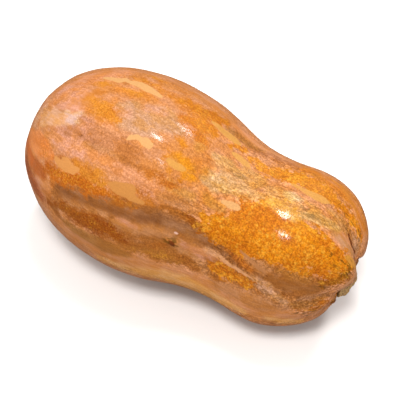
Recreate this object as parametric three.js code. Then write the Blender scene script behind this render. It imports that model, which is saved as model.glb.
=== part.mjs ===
/**
 * Butternut squash lying on its side, with the dry stub of its stem.
 *
 * Millimetres, +Z up. The fruit lies along X, with the blossom end at -X and the
 * stem end at +X, and rests on z = 0 at two small flat spots, one under the bulb
 * and one under the neck. The origin is the bottom centre of the bounding box.
 *
 * Each body is turned about its axis and then placed point by point. A place on it
 * is an arc length along its outline and a phase round it, which counts lobes from
 * the first furrow. Angles start at the top, with the side that faces -Y positive.
 */
import * as THREE from 'three';

const { clamp, degToRad, lerp, smoothstep } = THREE.MathUtils;

// ---------------------------------------------------------------- driving dimensions

/** Outline of the fruit: places along the axis from the blossom end, and radii there. */
const fruit = {
  dimpleDepth: 1.8,
  dimpleRadius: 11,
  bulbAt: 89,
  bulbRadius: 70.5,
  waistAt: 173,
  waistRadius: 55.2,
  neckAt: 199,
  neckRadius: 57,
  rimAt: 249,
  rimRadius: 19,
  floorAt: 237,
  floorRadius: 12.2,
};

/**
 * How the fruit lies: heights of its axis over the table, its neck's bend to +Y, and how
 * far its blossom end leans to +Y and sags.
 */
const lie = {
  bulbAxisHeight: 67.9,
  neckAxisHeight: 54.6,
  neckBend: 8.7,
  blossomLean: 2.5,
  blossomSag: 1.6,
};

/** The five main furrows: angles on the bulb and at the stem end, and depth at the rim. */
const mainFurrows = [
  { bulb: -8, stem: -10, rimDepth: 4.9 },
  { bulb: 61, stem: 69, rimDepth: 3.9 },
  { bulb: 130, stem: 142, rimDepth: 6.5 },
  { bulb: 201, stem: 212, rimDepth: 6.5 },
  { bulb: 274, stem: 281, rimDepth: 6.5 },
];

/** How far each lobe, from the first furrow on, stands back at the rim; one stands out. */
const lobeSetBacks = [-3, 5.6, 6.1, 4.6, 0.9];

/** Main furrows, sharper and deeper towards the stem, and a shallow one in each lobe. */
const furrows = {
  bulbDepth: 1.6,
  waistDepth: 3,
  bulbSoftness: 0.6,
  rimSoftness: 0.27,
  betweenDepth: 1.2,
  betweenSoftness: 0.5,
  betweenPhase: 0.6,
};

/** The stem cavity lies off the axis, by so much towards this angle. */
const cavityShift = { distance: 10.5, angle: 55 };

/**
 * Dry five-sided stem stub, spread at its foot on the floor of the stem cavity. It leans
 * to the side that faces -Y, and its cut slants towards an angle from the top.
 */
const stub = {
  gap: 0.3,
  height: 10.9,
  footRadius: 10.4,
  shankRadius: 9.5,
  topRadius: 11.2,
  topEdge: 0.8,
  cupDepth: 1.2,
  pinch: 0.18,
  lean: 3,
  cutSlant: 0.25,
  cutAngle: 57,
};

const segmentsPerLobe = 14;
const segmentsPerStubSide = 6;

const skinMaterial = new THREE.MeshStandardMaterial({ color: 0xd98a3e, roughness: 0.42, metalness: 0 });
const stemMaterial = new THREE.MeshStandardMaterial({ color: 0x8a7448, roughness: 0.85, metalness: 0 });

// ---------------------------------------------------------------- outlines

/** A smooth stretch of an outline through a cubic curve's four [along, radius] points. */
function stretch(steps, ...points) {
  const curve = new THREE.CubicBezierCurve(
    ...points.map(([along, radius]) => new THREE.Vector2(radius, along)),
  );
  return curve.getSpacedPoints(steps);
}

/** Joins stretches that meet end to end into one list of points. */
function joined(...stretches) {
  return stretches.flatMap((points, index) => (index === 0 ? points : points.slice(1)));
}

/** The fruit's outline from its blossom dimple over the rim to the cavity's floor. */
function fruitOutline() {
  const f = fruit;
  const toWaist = f.waistAt - f.bulbAt;
  const toNeck = f.neckAt - f.waistAt;
  const toRim = f.rimAt - f.neckAt;
  const shoulderDrop = f.neckRadius - f.rimRadius;
  return joined(
    stretch(3, [f.dimpleDepth, 0], [f.dimpleDepth, 4], [0, 6], [0, f.dimpleRadius]),
    stretch(14, [0, f.dimpleRadius], [0, 0.55 * f.bulbRadius], [0.34 * f.bulbAt, f.bulbRadius],
      [f.bulbAt, f.bulbRadius]),
    stretch(9, [f.bulbAt, f.bulbRadius], [f.bulbAt + 0.5 * toWaist, f.bulbRadius],
      [f.waistAt - 0.42 * toWaist, f.waistRadius], [f.waistAt, f.waistRadius]),
    stretch(3, [f.waistAt, f.waistRadius], [f.waistAt + 0.4 * toNeck, f.waistRadius],
      [f.neckAt - 0.4 * toNeck, f.neckRadius], [f.neckAt, f.neckRadius]),
    stretch(12, [f.neckAt, f.neckRadius], [f.neckAt + 0.57 * toRim, f.neckRadius],
      [f.rimAt, f.neckRadius - 0.57 * shoulderDrop], [f.rimAt, f.rimRadius]),
    stretch(4, [f.rimAt, f.rimRadius], [f.rimAt, f.rimRadius - 3],
      [f.floorAt + 6, f.floorRadius], [f.floorAt, f.floorRadius]),
    stretch(1, [f.floorAt, f.floorRadius], [f.floorAt, f.floorRadius], [f.floorAt, 0], [f.floorAt, 0]),
  );
}

/** The stub's outline: foot, waisted shank and a top cupped by drying. */
function stubOutline() {
  const s = stub;
  const foot = fruit.floorAt + s.gap;
  const middle = foot + 0.6 * s.height;
  const edge = foot + s.height - s.topEdge;
  const top = foot + s.height;
  return [
    new THREE.Vector2(0, foot),
    new THREE.Vector2(s.footRadius, foot),
    ...joined(
      stretch(4, [foot + 1.5, s.footRadius], [foot + 4, s.shankRadius + 0.4],
        [foot + 6, s.shankRadius], [middle, s.shankRadius]),
      stretch(3, [middle, s.shankRadius], [middle + 2, s.shankRadius],
        [edge - 2, s.topRadius], [edge, s.topRadius]),
    ),
    new THREE.Vector2(s.topRadius - s.topEdge, top),
    new THREE.Vector2(0.5 * s.topRadius, top - 0.6 * s.cupDepth),
    new THREE.Vector2(0, top - s.cupDepth),
  ];
}

// ---------------------------------------------------------------- furrows

/** 1 at the bottom of a furrow and 0 half-way to the next; softness rounds the bottom. */
function furrowForm(phase, softness) {
  const across = Math.sin(Math.PI * phase);
  const spread = Math.sqrt((across ** 2 + softness ** 2) / (1 + softness ** 2));
  const bottom = softness / Math.sqrt(1 + softness ** 2);
  return (1 - spread) / (1 - bottom);
}

/** Angle round the axis, in radians, of a phase at a place along the fruit. */
function angleAt(phase, along) {
  const towardsStem = smoothstep(along, fruit.bulbAt, fruit.neckAt);
  const furrowAngle = (index) => {
    const { bulb, stem } = mainFurrows[index % mainFurrows.length];
    return lerp(bulb, stem, towardsStem) + 360 * Math.floor(index / mainFurrows.length);
  };
  const lobe = Math.floor(phase);
  return degToRad(lerp(furrowAngle(lobe), furrowAngle(lobe + 1), phase - lobe));
}

/** How far the skin is drawn in at a phase and an arc length, between the arc marks. */
function furrowDepth(phase, arc, marks) {
  const fromPole = smoothstep(arc, 0.06 * marks.bulb, 0.5 * marks.bulb);
  const toWaist = smoothstep(arc, marks.bulb, marks.waist);
  const toRim = smoothstep(arc, marks.neck, marks.rim);
  const outsideCavity = 1 - smoothstep(arc, marks.rim, marks.floor);
  const { rimDepth } = mainFurrows[Math.round(phase) % mainFurrows.length];
  const depth = furrows.bulbDepth * fromPole + (furrows.waistDepth - furrows.bulbDepth) * toWaist
    + (rimDepth - furrows.waistDepth) * toRim;
  const sharpening = smoothstep(arc, marks.waist, marks.rim);
  const softness = lerp(furrows.bulbSoftness, furrows.rimSoftness, sharpening);
  const main = depth * furrowForm(phase, softness) ** 1.3;
  const setBack = lobeSetBacks[Math.floor(phase)] * Math.sin(Math.PI * phase) ** 2 * toRim;
  const between = furrows.betweenDepth * fromPole * (1 - toWaist)
    * furrowForm(phase - furrows.betweenPhase, furrows.betweenSoftness) ** 1.6;
  return (main + setBack) * outsideCavity + between;
}

/** Arc length of each point of the fruit's outline, and those of its landmarks. */
function measure(outline) {
  const arcs = [0];
  for (let i = 1; i < outline.length; i += 1) {
    arcs.push(arcs[i - 1] + outline[i].distanceTo(outline[i - 1]));
  }
  const arcOf = (along, radius) => {
    const place = new THREE.Vector2(radius, along);
    const distances = outline.map((point) => point.distanceTo(place));
    return arcs[distances.indexOf(Math.min(...distances))];
  };
  const marks = {
    bulb: arcOf(fruit.bulbAt, fruit.bulbRadius),
    waist: arcOf(fruit.waistAt, fruit.waistRadius),
    neck: arcOf(fruit.neckAt, fruit.neckRadius),
    rim: arcOf(fruit.rimAt, fruit.rimRadius),
    floor: arcOf(fruit.floorAt, fruit.floorRadius),
  };
  return { arcs, marks };
}

// ---------------------------------------------------------------- pieces

/** Lays a point of a body on the table: tilted, bent and leaning, or with the cavity. */
function layDown(along, radius, angle) {
  const drop = lie.bulbAxisHeight - lie.neckAxisHeight;
  const tilt = Math.asin(drop / (fruit.neckAt - fruit.bulbAt));
  const bent = clamp((along - fruit.bulbAt) / (fruit.rimAt - fruit.bulbAt), 0, 1.2) ** 2;
  const inCavity = smoothstep(along, fruit.neckAt, fruit.floorAt)
    * (1 - smoothstep(radius, fruit.rimRadius, fruit.neckRadius));
  const shift = cavityShift.distance * inCavity;
  const shiftAngle = degToRad(cavityShift.angle);
  const leaning = clamp(1 - along / fruit.bulbAt, 0, 1) ** 2;
  const fromBulb = along - fruit.bulbAt;
  const up = radius * Math.cos(angle) + shift * Math.cos(shiftAngle);
  const across = -radius * Math.sin(angle) - shift * Math.sin(shiftAngle);
  return new THREE.Vector3(
    fruit.bulbAt + fromBulb * Math.cos(tilt) + up * Math.sin(tilt),
    across + lie.neckBend * bent + lie.blossomLean * leaning,
    lie.bulbAxisHeight - fromBulb * Math.sin(tilt) + up * Math.cos(tilt)
      - lie.blossomSag * leaning,
  );
}

/** Turns an outline, then puts each point where place(row, phase, outward) says. */
function turnedBody(outline, segmentsPerSide, place) {
  const segments = mainFurrows.length * segmentsPerSide;
  const geometry = new THREE.LatheGeometry(outline, segments);
  const { position, normal } = geometry.attributes;
  for (let vertex = 0; vertex < position.count; vertex += 1) {
    const row = vertex % outline.length;
    const phase = (Math.floor(vertex / outline.length) % segments) / segmentsPerSide;
    const outward = new THREE.Vector2(normal.getZ(row), normal.getY(row));
    position.setXYZ(vertex, ...place(row, phase, outward));
  }
  return geometry;
}

/** Skin and flesh in one solid: turned, drawn in at the furrows and flat where it rests. */
function fruitGeometry() {
  const outline = fruitOutline();
  const { arcs, marks } = measure(outline);
  return turnedBody(outline, segmentsPerLobe, (row, phase, outward) => {
    const inwards = furrowDepth(phase, arcs[row], marks);
    const { x: radius, y: along } = outline[row].clone().addScaledVector(outward, -inwards);
    const onAxis = outline[row].x === 0;
    const point = layDown(along, onAxis ? 0 : radius, angleAt(phase, along));
    return [point.x, point.y, Math.max(point.z, 0)];
  });
}

/** The stem stub: turned, pinched between its ridges and cut off a little askew. */
function stubGeometry() {
  const outline = stubOutline();
  return turnedBody(outline, segmentsPerStubSide, (row, phase) => {
    const { x: radius, y: along } = outline[row];
    const angle = angleAt(phase, fruit.rimAt);
    const ridged = radius * (1 - stub.pinch * Math.cos(Math.PI * phase) ** 2);
    const rise = (along - fruit.floorAt - stub.gap) / stub.height;
    const fromCut = Math.cos(angle - degToRad(stub.cutAngle));
    const slant = stub.cutSlant * rise ** 2 * ridged * fromCut;
    const point = layDown(along - slant, ridged, angle);
    point.y -= stub.lean * rise;
    return point.toArray();
  });
}

/** A mesh under the name of the piece that it is. */
function piece(name, geometry, material) {
  const mesh = new THREE.Mesh(geometry, material);
  mesh.name = name;
  return mesh;
}

const squash = new THREE.Group();
squash.add(piece('fruit', fruitGeometry(), skinMaterial));
squash.add(piece('stem', stubGeometry(), stemMaterial));

const box = new THREE.Box3().setFromObject(squash);
const centre = box.getCenter(new THREE.Vector3());
squash.position.set(-centre.x, -centre.y, -box.min.z);

export default squash;
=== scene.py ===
"""Looks of a butternut squash that lies on its side, with the dry stub of its stem.

Forms are worked out in millimetres, in the way that the part itself is made: an outline is
turned about the axis and each point is then laid down on the table. A place on the skin is
an arc length along the outline and a phase round it, which counts lobes from the first
furrow. Meshes are finished in metres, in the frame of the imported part.
"""

import logging
import math
from collections.abc import Iterator
from dataclasses import dataclass, field
from enum import Enum
from typing import NamedTuple

import bmesh
import bpy
import numpy as np
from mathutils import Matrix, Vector, noise
from mathutils.bvhtree import BVHTree


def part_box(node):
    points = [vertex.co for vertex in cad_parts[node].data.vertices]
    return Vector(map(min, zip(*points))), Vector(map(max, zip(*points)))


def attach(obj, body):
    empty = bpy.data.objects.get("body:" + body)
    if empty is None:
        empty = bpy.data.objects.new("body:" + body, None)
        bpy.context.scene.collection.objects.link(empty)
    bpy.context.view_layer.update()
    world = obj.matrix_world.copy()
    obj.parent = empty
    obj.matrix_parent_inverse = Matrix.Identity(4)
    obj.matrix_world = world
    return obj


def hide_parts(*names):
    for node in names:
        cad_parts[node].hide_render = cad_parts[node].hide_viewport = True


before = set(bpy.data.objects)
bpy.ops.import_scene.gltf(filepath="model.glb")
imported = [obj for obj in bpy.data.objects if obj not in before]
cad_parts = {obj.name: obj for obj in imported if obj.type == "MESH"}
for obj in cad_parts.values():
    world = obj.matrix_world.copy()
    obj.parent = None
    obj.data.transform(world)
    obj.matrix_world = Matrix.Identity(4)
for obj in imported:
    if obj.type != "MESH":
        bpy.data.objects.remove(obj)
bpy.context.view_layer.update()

log = logging.getLogger("squash")

LOBES = 5
TINY = 1e-9
MM = 0.001  # a millimetre in metres
WELD = 1e-4  # points closer than this, in millimetres, are one
FAR_OUTSIDE = -20.0  # millimetres inside a stroke, where none reaches
Pixel = tuple[float, float]
Mark = tuple[float, float, float]
Path = tuple[Mark, ...]
Rgb = tuple[float, float, float]
Tones = tuple[Rgb, Rgb]


# ------------------------------------------------------------------ small tools

def smoothstep(value: np.ndarray, low: float, high: float) -> np.ndarray:
    """Rises smoothly from 0 at low to 1 at high."""
    share = np.clip((value - low) / (high - low), 0.0, 1.0)
    return share * share * (3.0 - 2.0 * share)


def lerp(start: np.ndarray, end: np.ndarray, share: np.ndarray) -> np.ndarray:
    """Blends from start to end."""
    return start + (end - start) * share


def linear(red: float, green: float, blue: float) -> Rgb:
    """Turns a colour of 0 to 255 a channel, as seen on a screen, into linear light."""
    shares = (channel / 255.0 for channel in (red, green, blue))
    return tuple(share / 12.92 if share <= 0.04045 else ((share + 0.055) / 1.055) ** 2.4
                 for share in shares)


def noise_field(points: np.ndarray, size: float, seed: float = 0.0) -> np.ndarray:
    """Smooth noise between about -1 and 1 at each point.

    Args:
        points: places in millimetres, one a row.
        size: how wide a swell of the noise is, in millimetres.
        seed: shifts the noise, so that two fields differ.

    Returns:
        One value a point.
    """
    places = points / size + seed
    return np.array([noise.noise(place) for place in places.tolist()])


def beside(points: np.ndarray, path: np.ndarray,
           widths: np.ndarray) -> Iterator[tuple[np.ndarray, np.ndarray]]:
    """Goes along a path, one straight piece at a time.

    Args:
        points: places in millimetres, one a row.
        path: the ends of the pieces, in millimetres.
        widths: the path's width at each of them.

    Yields:
        How far each point is from the piece, and how wide the path is beside the point.
    """
    for start, end, wide, wider in zip(path, path[1:], widths, widths[1:]):
        span = end - start
        share = (points - start) @ span / max(float(span @ span), TINY)
        share = np.clip(share, 0.0, 1.0)
        near = start + share[:, None] * span
        yield np.linalg.norm(points - near, axis=1), wide + (wider - wide) * share


# ------------------------------------------------------------------ outlines

@dataclass
class Outline:
    """A smooth outline, as dense points of [along, radius] joined end to end."""

    points: list[np.ndarray] = field(default_factory=list)
    ends: list[float] = field(default_factory=list)
    steps: int = 160

    def stretch(self, *control: tuple[float, float]) -> None:
        """Adds a cubic stretch through its four control points."""
        start, first, second, end = (np.array(point, float) for point in control)
        share = np.linspace(0.0, 1.0, self.steps + 1)[:, None]
        rest = 1.0 - share
        curve = (rest ** 3 * start + 3 * rest ** 2 * share * first
                 + 3 * rest * share ** 2 * second + share ** 3 * end)
        self.points.append(curve if not self.points else curve[1:])
        lengths = np.linalg.norm(np.diff(curve, axis=0), axis=1)
        self.ends.append((self.ends[-1] if self.ends else 0.0) + lengths.sum())

    def line(self, *ends: tuple[float, float]) -> None:
        """Adds a straight stretch between two points."""
        start, end = ends
        self.stretch(start, start, end, end)

    def arcs(self) -> tuple[np.ndarray, np.ndarray]:
        """All dense points in one array, and the arc length at each."""
        curve = np.vstack(self.points)
        lengths = np.linalg.norm(np.diff(curve, axis=0), axis=1)
        return curve, np.concatenate([[0.0], np.cumsum(lengths)])

    def at(self, arc: np.ndarray) -> tuple[np.ndarray, np.ndarray, np.ndarray]:
        """The outline at arc lengths.

        Args:
            arc: arc lengths from the outline's start.

        Returns:
            The along and radius values there, and the outward [along, radius] normals.
        """
        curve, arcs = self.arcs()
        # a hair between points that coincide keeps the slope finite
        slope = np.gradient(curve, arcs + np.arange(len(arcs)) * TINY, axis=0)
        normal = np.stack([-slope[:, 1], slope[:, 0]], axis=1)
        normal /= np.linalg.norm(normal, axis=1)[:, None]
        along = np.interp(arc, arcs, curve[:, 0])
        radius = np.interp(arc, arcs, curve[:, 1])
        outward = np.stack([np.interp(arc, arcs, normal[:, 0]),
                            np.interp(arc, arcs, normal[:, 1])], axis=1)
        return along, radius, outward


def furrow_form(phase: np.ndarray, softness: np.ndarray) -> np.ndarray:
    """1 at the bottom of a furrow and 0 half-way to the next; softness rounds the bottom."""
    across = np.sin(np.pi * phase)
    spread = np.sqrt((across ** 2 + softness ** 2) / (1 + softness ** 2))
    bottom = softness / np.sqrt(1 + softness ** 2)
    return (1 - spread) / (1 - bottom)


@dataclass
class FruitForm:
    """The fruit's form in millimetres, as the part has it.

    Handles shape the outline between its landmarks, in millimetres near the axis and as
    shares of the stretch elsewhere. Angles are in degrees.
    """

    dimple_depth: float = 1.8
    dimple_radius: float = 11.0
    dimple_handles: tuple[float, float] = (4.0, 6.0)
    bulb_at: float = 89.0
    bulb_radius: float = 70.5
    bulb_handles: tuple[float, float] = (0.55, 0.34)
    waist_at: float = 173.0
    waist_radius: float = 55.2
    waist_handles: tuple[float, float] = (0.5, 0.42)
    neck_at: float = 199.0
    neck_radius: float = 57.0
    neck_handle: float = 0.4
    rim_at: float = 249.0
    rim_radius: float = 19.0
    shoulder_handle: float = 0.57
    floor_at: float = 237.0
    floor_radius: float = 12.2
    cavity_handles: tuple[float, float] = (3.0, 6.0)
    bulb_axis_height: float = 67.9
    neck_axis_height: float = 54.6
    neck_bend: float = 8.7
    bend_limit: float = 1.2
    blossom_lean: float = 2.5
    blossom_sag: float = 1.6
    furrows_on_bulb: tuple[float, ...] = (-8, 61, 130, 201, 274)
    furrows_at_stem: tuple[float, ...] = (-10, 69, 142, 212, 281)
    rim_depths: tuple[float, ...] = (4.9, 3.9, 6.5, 6.5, 6.5)
    lobe_set_backs: tuple[float, ...] = (-3.0, 5.6, 6.1, 4.6, 0.9)
    bulb_depth: float = 1.6
    waist_depth: float = 3.0
    bulb_softness: float = 0.6
    rim_softness: float = 0.27
    between_depth: float = 1.2
    between_softness: float = 0.5
    between_phase: float = 0.6
    furrow_power: float = 1.3
    between_power: float = 1.6
    furrows_from: tuple[float, float] = (0.06, 0.5)
    calm_axis: float = 2.0
    cavity_shift: float = 10.5
    cavity_angle: float = 55.0

    def __post_init__(self) -> None:
        """Draws the outline and keeps the arc lengths of its landmarks."""
        to_waist = self.waist_at - self.bulb_at
        ease = self.neck_handle * (self.neck_at - self.waist_at)
        across = self.shoulder_handle * (self.rim_at - self.neck_at)
        down = self.shoulder_handle * (self.neck_radius - self.rim_radius)
        near_axis, far_from_axis = self.dimple_handles
        up, along = self.bulb_handles
        after_bulb, before_waist = self.waist_handles
        below_rim, above_floor = self.cavity_handles
        bulb = (self.bulb_at, self.bulb_radius)
        waist = (self.waist_at, self.waist_radius)
        neck = (self.neck_at, self.neck_radius)
        rim = (self.rim_at, self.rim_radius)
        floor = (self.floor_at, self.floor_radius)
        dimple = self.dimple_depth
        outline = Outline()
        outline.stretch((dimple, 0), (dimple, near_axis), (0, far_from_axis),
                        (0, self.dimple_radius))
        outline.stretch((0, self.dimple_radius), (0, up * self.bulb_radius),
                        (along * self.bulb_at, self.bulb_radius), bulb)
        outline.stretch(bulb, (self.bulb_at + after_bulb * to_waist, self.bulb_radius),
                        (self.waist_at - before_waist * to_waist, self.waist_radius), waist)
        outline.stretch(waist, (self.waist_at + ease, self.waist_radius),
                        (self.neck_at - ease, self.neck_radius), neck)
        outline.stretch(neck, (self.neck_at + across, self.neck_radius),
                        (self.rim_at, self.neck_radius - down), rim)
        outline.stretch(rim, (self.rim_at, self.rim_radius - below_rim),
                        (self.floor_at + above_floor, self.floor_radius), floor)
        outline.line(floor, (self.floor_at, 0))
        self.outline = outline
        _, self.bulb_arc, self.waist_arc, self.neck_arc, self.rim_arc, self.floor_arc, \
            self.end_arc = outline.ends

    def angle_at(self, phase: np.ndarray, along: np.ndarray) -> np.ndarray:
        """Angle round the axis, in radians, of a phase at a place along the fruit."""
        towards_stem = smoothstep(along, self.bulb_at, self.neck_at)
        on_bulb = np.array([*self.furrows_on_bulb, self.furrows_on_bulb[0] + 360])
        at_stem = np.array([*self.furrows_at_stem, self.furrows_at_stem[0] + 360])
        lobe = np.minimum(np.floor(phase).astype(int), LOBES - 1)
        before = lerp(on_bulb[lobe], at_stem[lobe], towards_stem)
        after = lerp(on_bulb[lobe + 1], at_stem[lobe + 1], towards_stem)
        return np.radians(lerp(before, after, phase - lobe))

    def furrow_depth(self, phase: np.ndarray, arc: np.ndarray) -> np.ndarray:
        """How far the skin is drawn in at a phase and an arc length."""
        start, full = (share * self.bulb_arc for share in self.furrows_from)
        from_pole = smoothstep(arc, start, full)
        to_waist = smoothstep(arc, self.bulb_arc, self.waist_arc)
        to_rim = smoothstep(arc, self.neck_arc, self.rim_arc)
        outside_cavity = 1 - smoothstep(arc, self.rim_arc, self.floor_arc)
        rim_depth = np.array(self.rim_depths)[np.rint(phase).astype(int) % LOBES]
        depth = (self.bulb_depth * from_pole + (self.waist_depth - self.bulb_depth) * to_waist
                 + (rim_depth - self.waist_depth) * to_rim)
        sharpening = smoothstep(arc, self.waist_arc, self.rim_arc)
        softness = lerp(self.bulb_softness, self.rim_softness, sharpening)
        main = depth * furrow_form(phase, softness) ** self.furrow_power
        lobe = np.minimum(np.floor(phase).astype(int), LOBES - 1)
        set_back = np.array(self.lobe_set_backs)[lobe] * np.sin(np.pi * phase) ** 2 * to_rim
        between = (self.between_depth * from_pole * (1 - to_waist)
                   * furrow_form(phase - self.between_phase, self.between_softness)
                   ** self.between_power)
        return (main + set_back) * outside_cavity + between

    def lay_down(self, along: np.ndarray, radius: np.ndarray,
                 angle: np.ndarray) -> np.ndarray:
        """Lays points on the table: tilted, bent and leaning, or with the cavity.

        Args:
            along: places along the axis.
            radius: distances from it.
            angle: angles round it from the top, towards -Y, in radians.

        Returns:
            One [x, y, z] a row, in the form's own frame.
        """
        drop = self.bulb_axis_height - self.neck_axis_height
        tilt = math.asin(drop / (self.neck_at - self.bulb_at))
        bent = np.clip((along - self.bulb_at) / (self.rim_at - self.bulb_at), 0,
                       self.bend_limit) ** 2
        in_cavity = (smoothstep(along, self.neck_at, self.floor_at)
                     * (1 - smoothstep(radius, self.rim_radius, self.neck_radius)))
        shift = self.cavity_shift * in_cavity
        shift_angle = math.radians(self.cavity_angle)
        leaning = np.clip(1 - along / self.bulb_at, 0, 1) ** 2
        from_bulb = along - self.bulb_at
        up = radius * np.cos(angle) + shift * math.cos(shift_angle)
        across = -radius * np.sin(angle) - shift * math.sin(shift_angle)
        return np.stack([
            self.bulb_at + from_bulb * math.cos(tilt) + up * math.sin(tilt),
            across + self.neck_bend * bent + self.blossom_lean * leaning,
            self.bulb_axis_height - from_bulb * math.sin(tilt) + up * math.cos(tilt)
            - self.blossom_sag * leaning,
        ], axis=1)

    def surface(self, arc: np.ndarray, phase: np.ndarray) -> np.ndarray:
        """Points of the skin at arc lengths and phases, one [x, y, z] a row."""
        along, radius, outward = self.outline.at(arc)
        inwards = self.furrow_depth(phase, arc)
        off_axis = np.minimum(radius / self.calm_axis, 1.0)
        radius = np.maximum(radius - outward[:, 1] * inwards * off_axis, 0.0)
        along = along - outward[:, 0] * inwards
        return self.lay_down(along, radius, self.angle_at(phase, along))


# ------------------------------------------------------------------ objects

def new_object(name: str, data: bpy.types.ID) -> bpy.types.Object:
    """Puts a new object in the scene."""
    added = bpy.data.objects.new(name, data)
    bpy.context.scene.collection.objects.link(added)
    return added


def mesh_object(name: str, shape: bmesh.types.BMesh) -> bpy.types.Object:
    """Puts a new object in the scene, with a shape that it uses up."""
    mesh = bpy.data.meshes.new(name)
    shape.to_mesh(mesh)
    shape.free()
    return new_object(name, mesh)


def turn(name: str, outline: Outline, rings: np.ndarray, segments: int
         ) -> tuple[bpy.types.Object, np.ndarray, np.ndarray]:
    """Spins an outline about X into a closed body.

    Args:
        name: name of the new object.
        outline: the outline, which starts and ends on the axis.
        rings: the arc lengths at which the body has a ring of vertices.
        segments: how many steps the full turn has.

    Returns:
        The object, and the arc length and phase of each of its vertices.
    """
    along, radius, _ = outline.at(rings)
    radius[0] = radius[-1] = 0.0
    shape = bmesh.new()
    arc_layer = shape.verts.layers.float.new("arc")
    verts = [shape.verts.new((x, 0.0, r)) for x, r in zip(along, radius)]
    for vert, value in zip(verts, rings):
        vert[arc_layer] = value
    edges = [shape.edges.new(pair) for pair in zip(verts, verts[1:])]
    bmesh.ops.spin(shape, geom=verts + edges, cent=(0, 0, 0), axis=(1, 0, 0),
                   angle=math.tau, steps=segments, use_merge=True)
    bmesh.ops.remove_doubles(shape, verts=shape.verts, dist=WELD)
    bmesh.ops.recalc_face_normals(shape, faces=shape.faces)
    arcs = np.array([vert[arc_layer] for vert in shape.verts])
    flat = np.array([(vert.co.y, vert.co.z) for vert in shape.verts])
    phase = np.mod(np.arctan2(-flat[:, 0], flat[:, 1]) / math.tau * LOBES, LOBES)
    piece = mesh_object(name, shape)
    piece.data.shade_smooth()
    return piece, arcs, phase


def aim(name: str, data: bpy.types.ID, spot: Vector, back: Vector) -> bpy.types.Object:
    """Puts a camera or a lamp at a spot in metres, with its back in a direction."""
    added = new_object(name, data)
    added.location = spot
    added.rotation_mode = "QUATERNION"
    added.rotation_quaternion = back.to_track_quat("Z", "Y")
    return added


def place(piece: bpy.types.Object, points: np.ndarray) -> None:
    """Moves a mesh's vertices to points given in millimetres."""
    piece.data.vertices.foreach_set("co", (points * MM).astype(np.float32).ravel())
    piece.data.update()


# ------------------------------------------------------------------ view

@dataclass(frozen=True)
class View:
    """The camera: where it stands round the squash, and its lens."""

    azimuth: float = 31.3
    elevation: float = 49.0
    distance: float = 700.0
    lens: float = 91.1
    sensor: float = 36.0
    picture: float = 400.0
    target: tuple[float, float, float] = (3.4, 4.4, 62.0)

    def axes(self) -> tuple[Vector, Vector, Vector]:
        """The directions to the right of the view, up in it and back to the camera."""
        turn_by, rise = math.radians(self.azimuth), math.radians(self.elevation)
        back = Vector((math.sin(turn_by) * math.cos(rise), -math.cos(turn_by) * math.cos(rise),
                       math.sin(rise)))
        right = Vector((math.cos(turn_by), math.sin(turn_by), 0.0))
        return right, back.cross(right), back

    def eye(self) -> Vector:
        """The camera's place, in metres."""
        _, _, back = self.axes()
        return (Vector(self.target) + back * self.distance) * MM

    def towards(self, pixel: Pixel) -> Vector:
        """The direction in which the camera sees a pixel."""
        right, up, back = self.axes()
        scale = self.sensor / self.lens / self.picture
        across = (pixel[0] - self.picture / 2) * scale
        rise = (self.picture / 2 - pixel[1]) * scale
        return (right * across + up * rise - back).normalized()

    def stand(self) -> None:
        """Makes the camera and gives it to the scene."""
        data = bpy.data.cameras.new("camera")
        data.lens = self.lens
        data.sensor_width = self.sensor
        _, _, back = self.axes()
        bpy.context.scene.camera = aim("camera", data, self.eye(), back)


# ------------------------------------------------------------------ shader graphs

class Swells(NamedTuple):
    """A noise: how wide its swells are in metres, its detail and its roughness."""

    size: float
    detail: float = 2.0
    roughness: float = 0.5


class Grains(NamedTuple):
    """Grains of the skin: how they are drawn out, if at all, their size and their warp."""

    drawn_out: float | None
    size: float
    warp: float


class Ramp(NamedTuple):
    """A smooth step, from start at low to end at high."""

    low: float = 0.0
    high: float = 1.0
    start: float = 0.0
    end: float = 1.0


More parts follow.
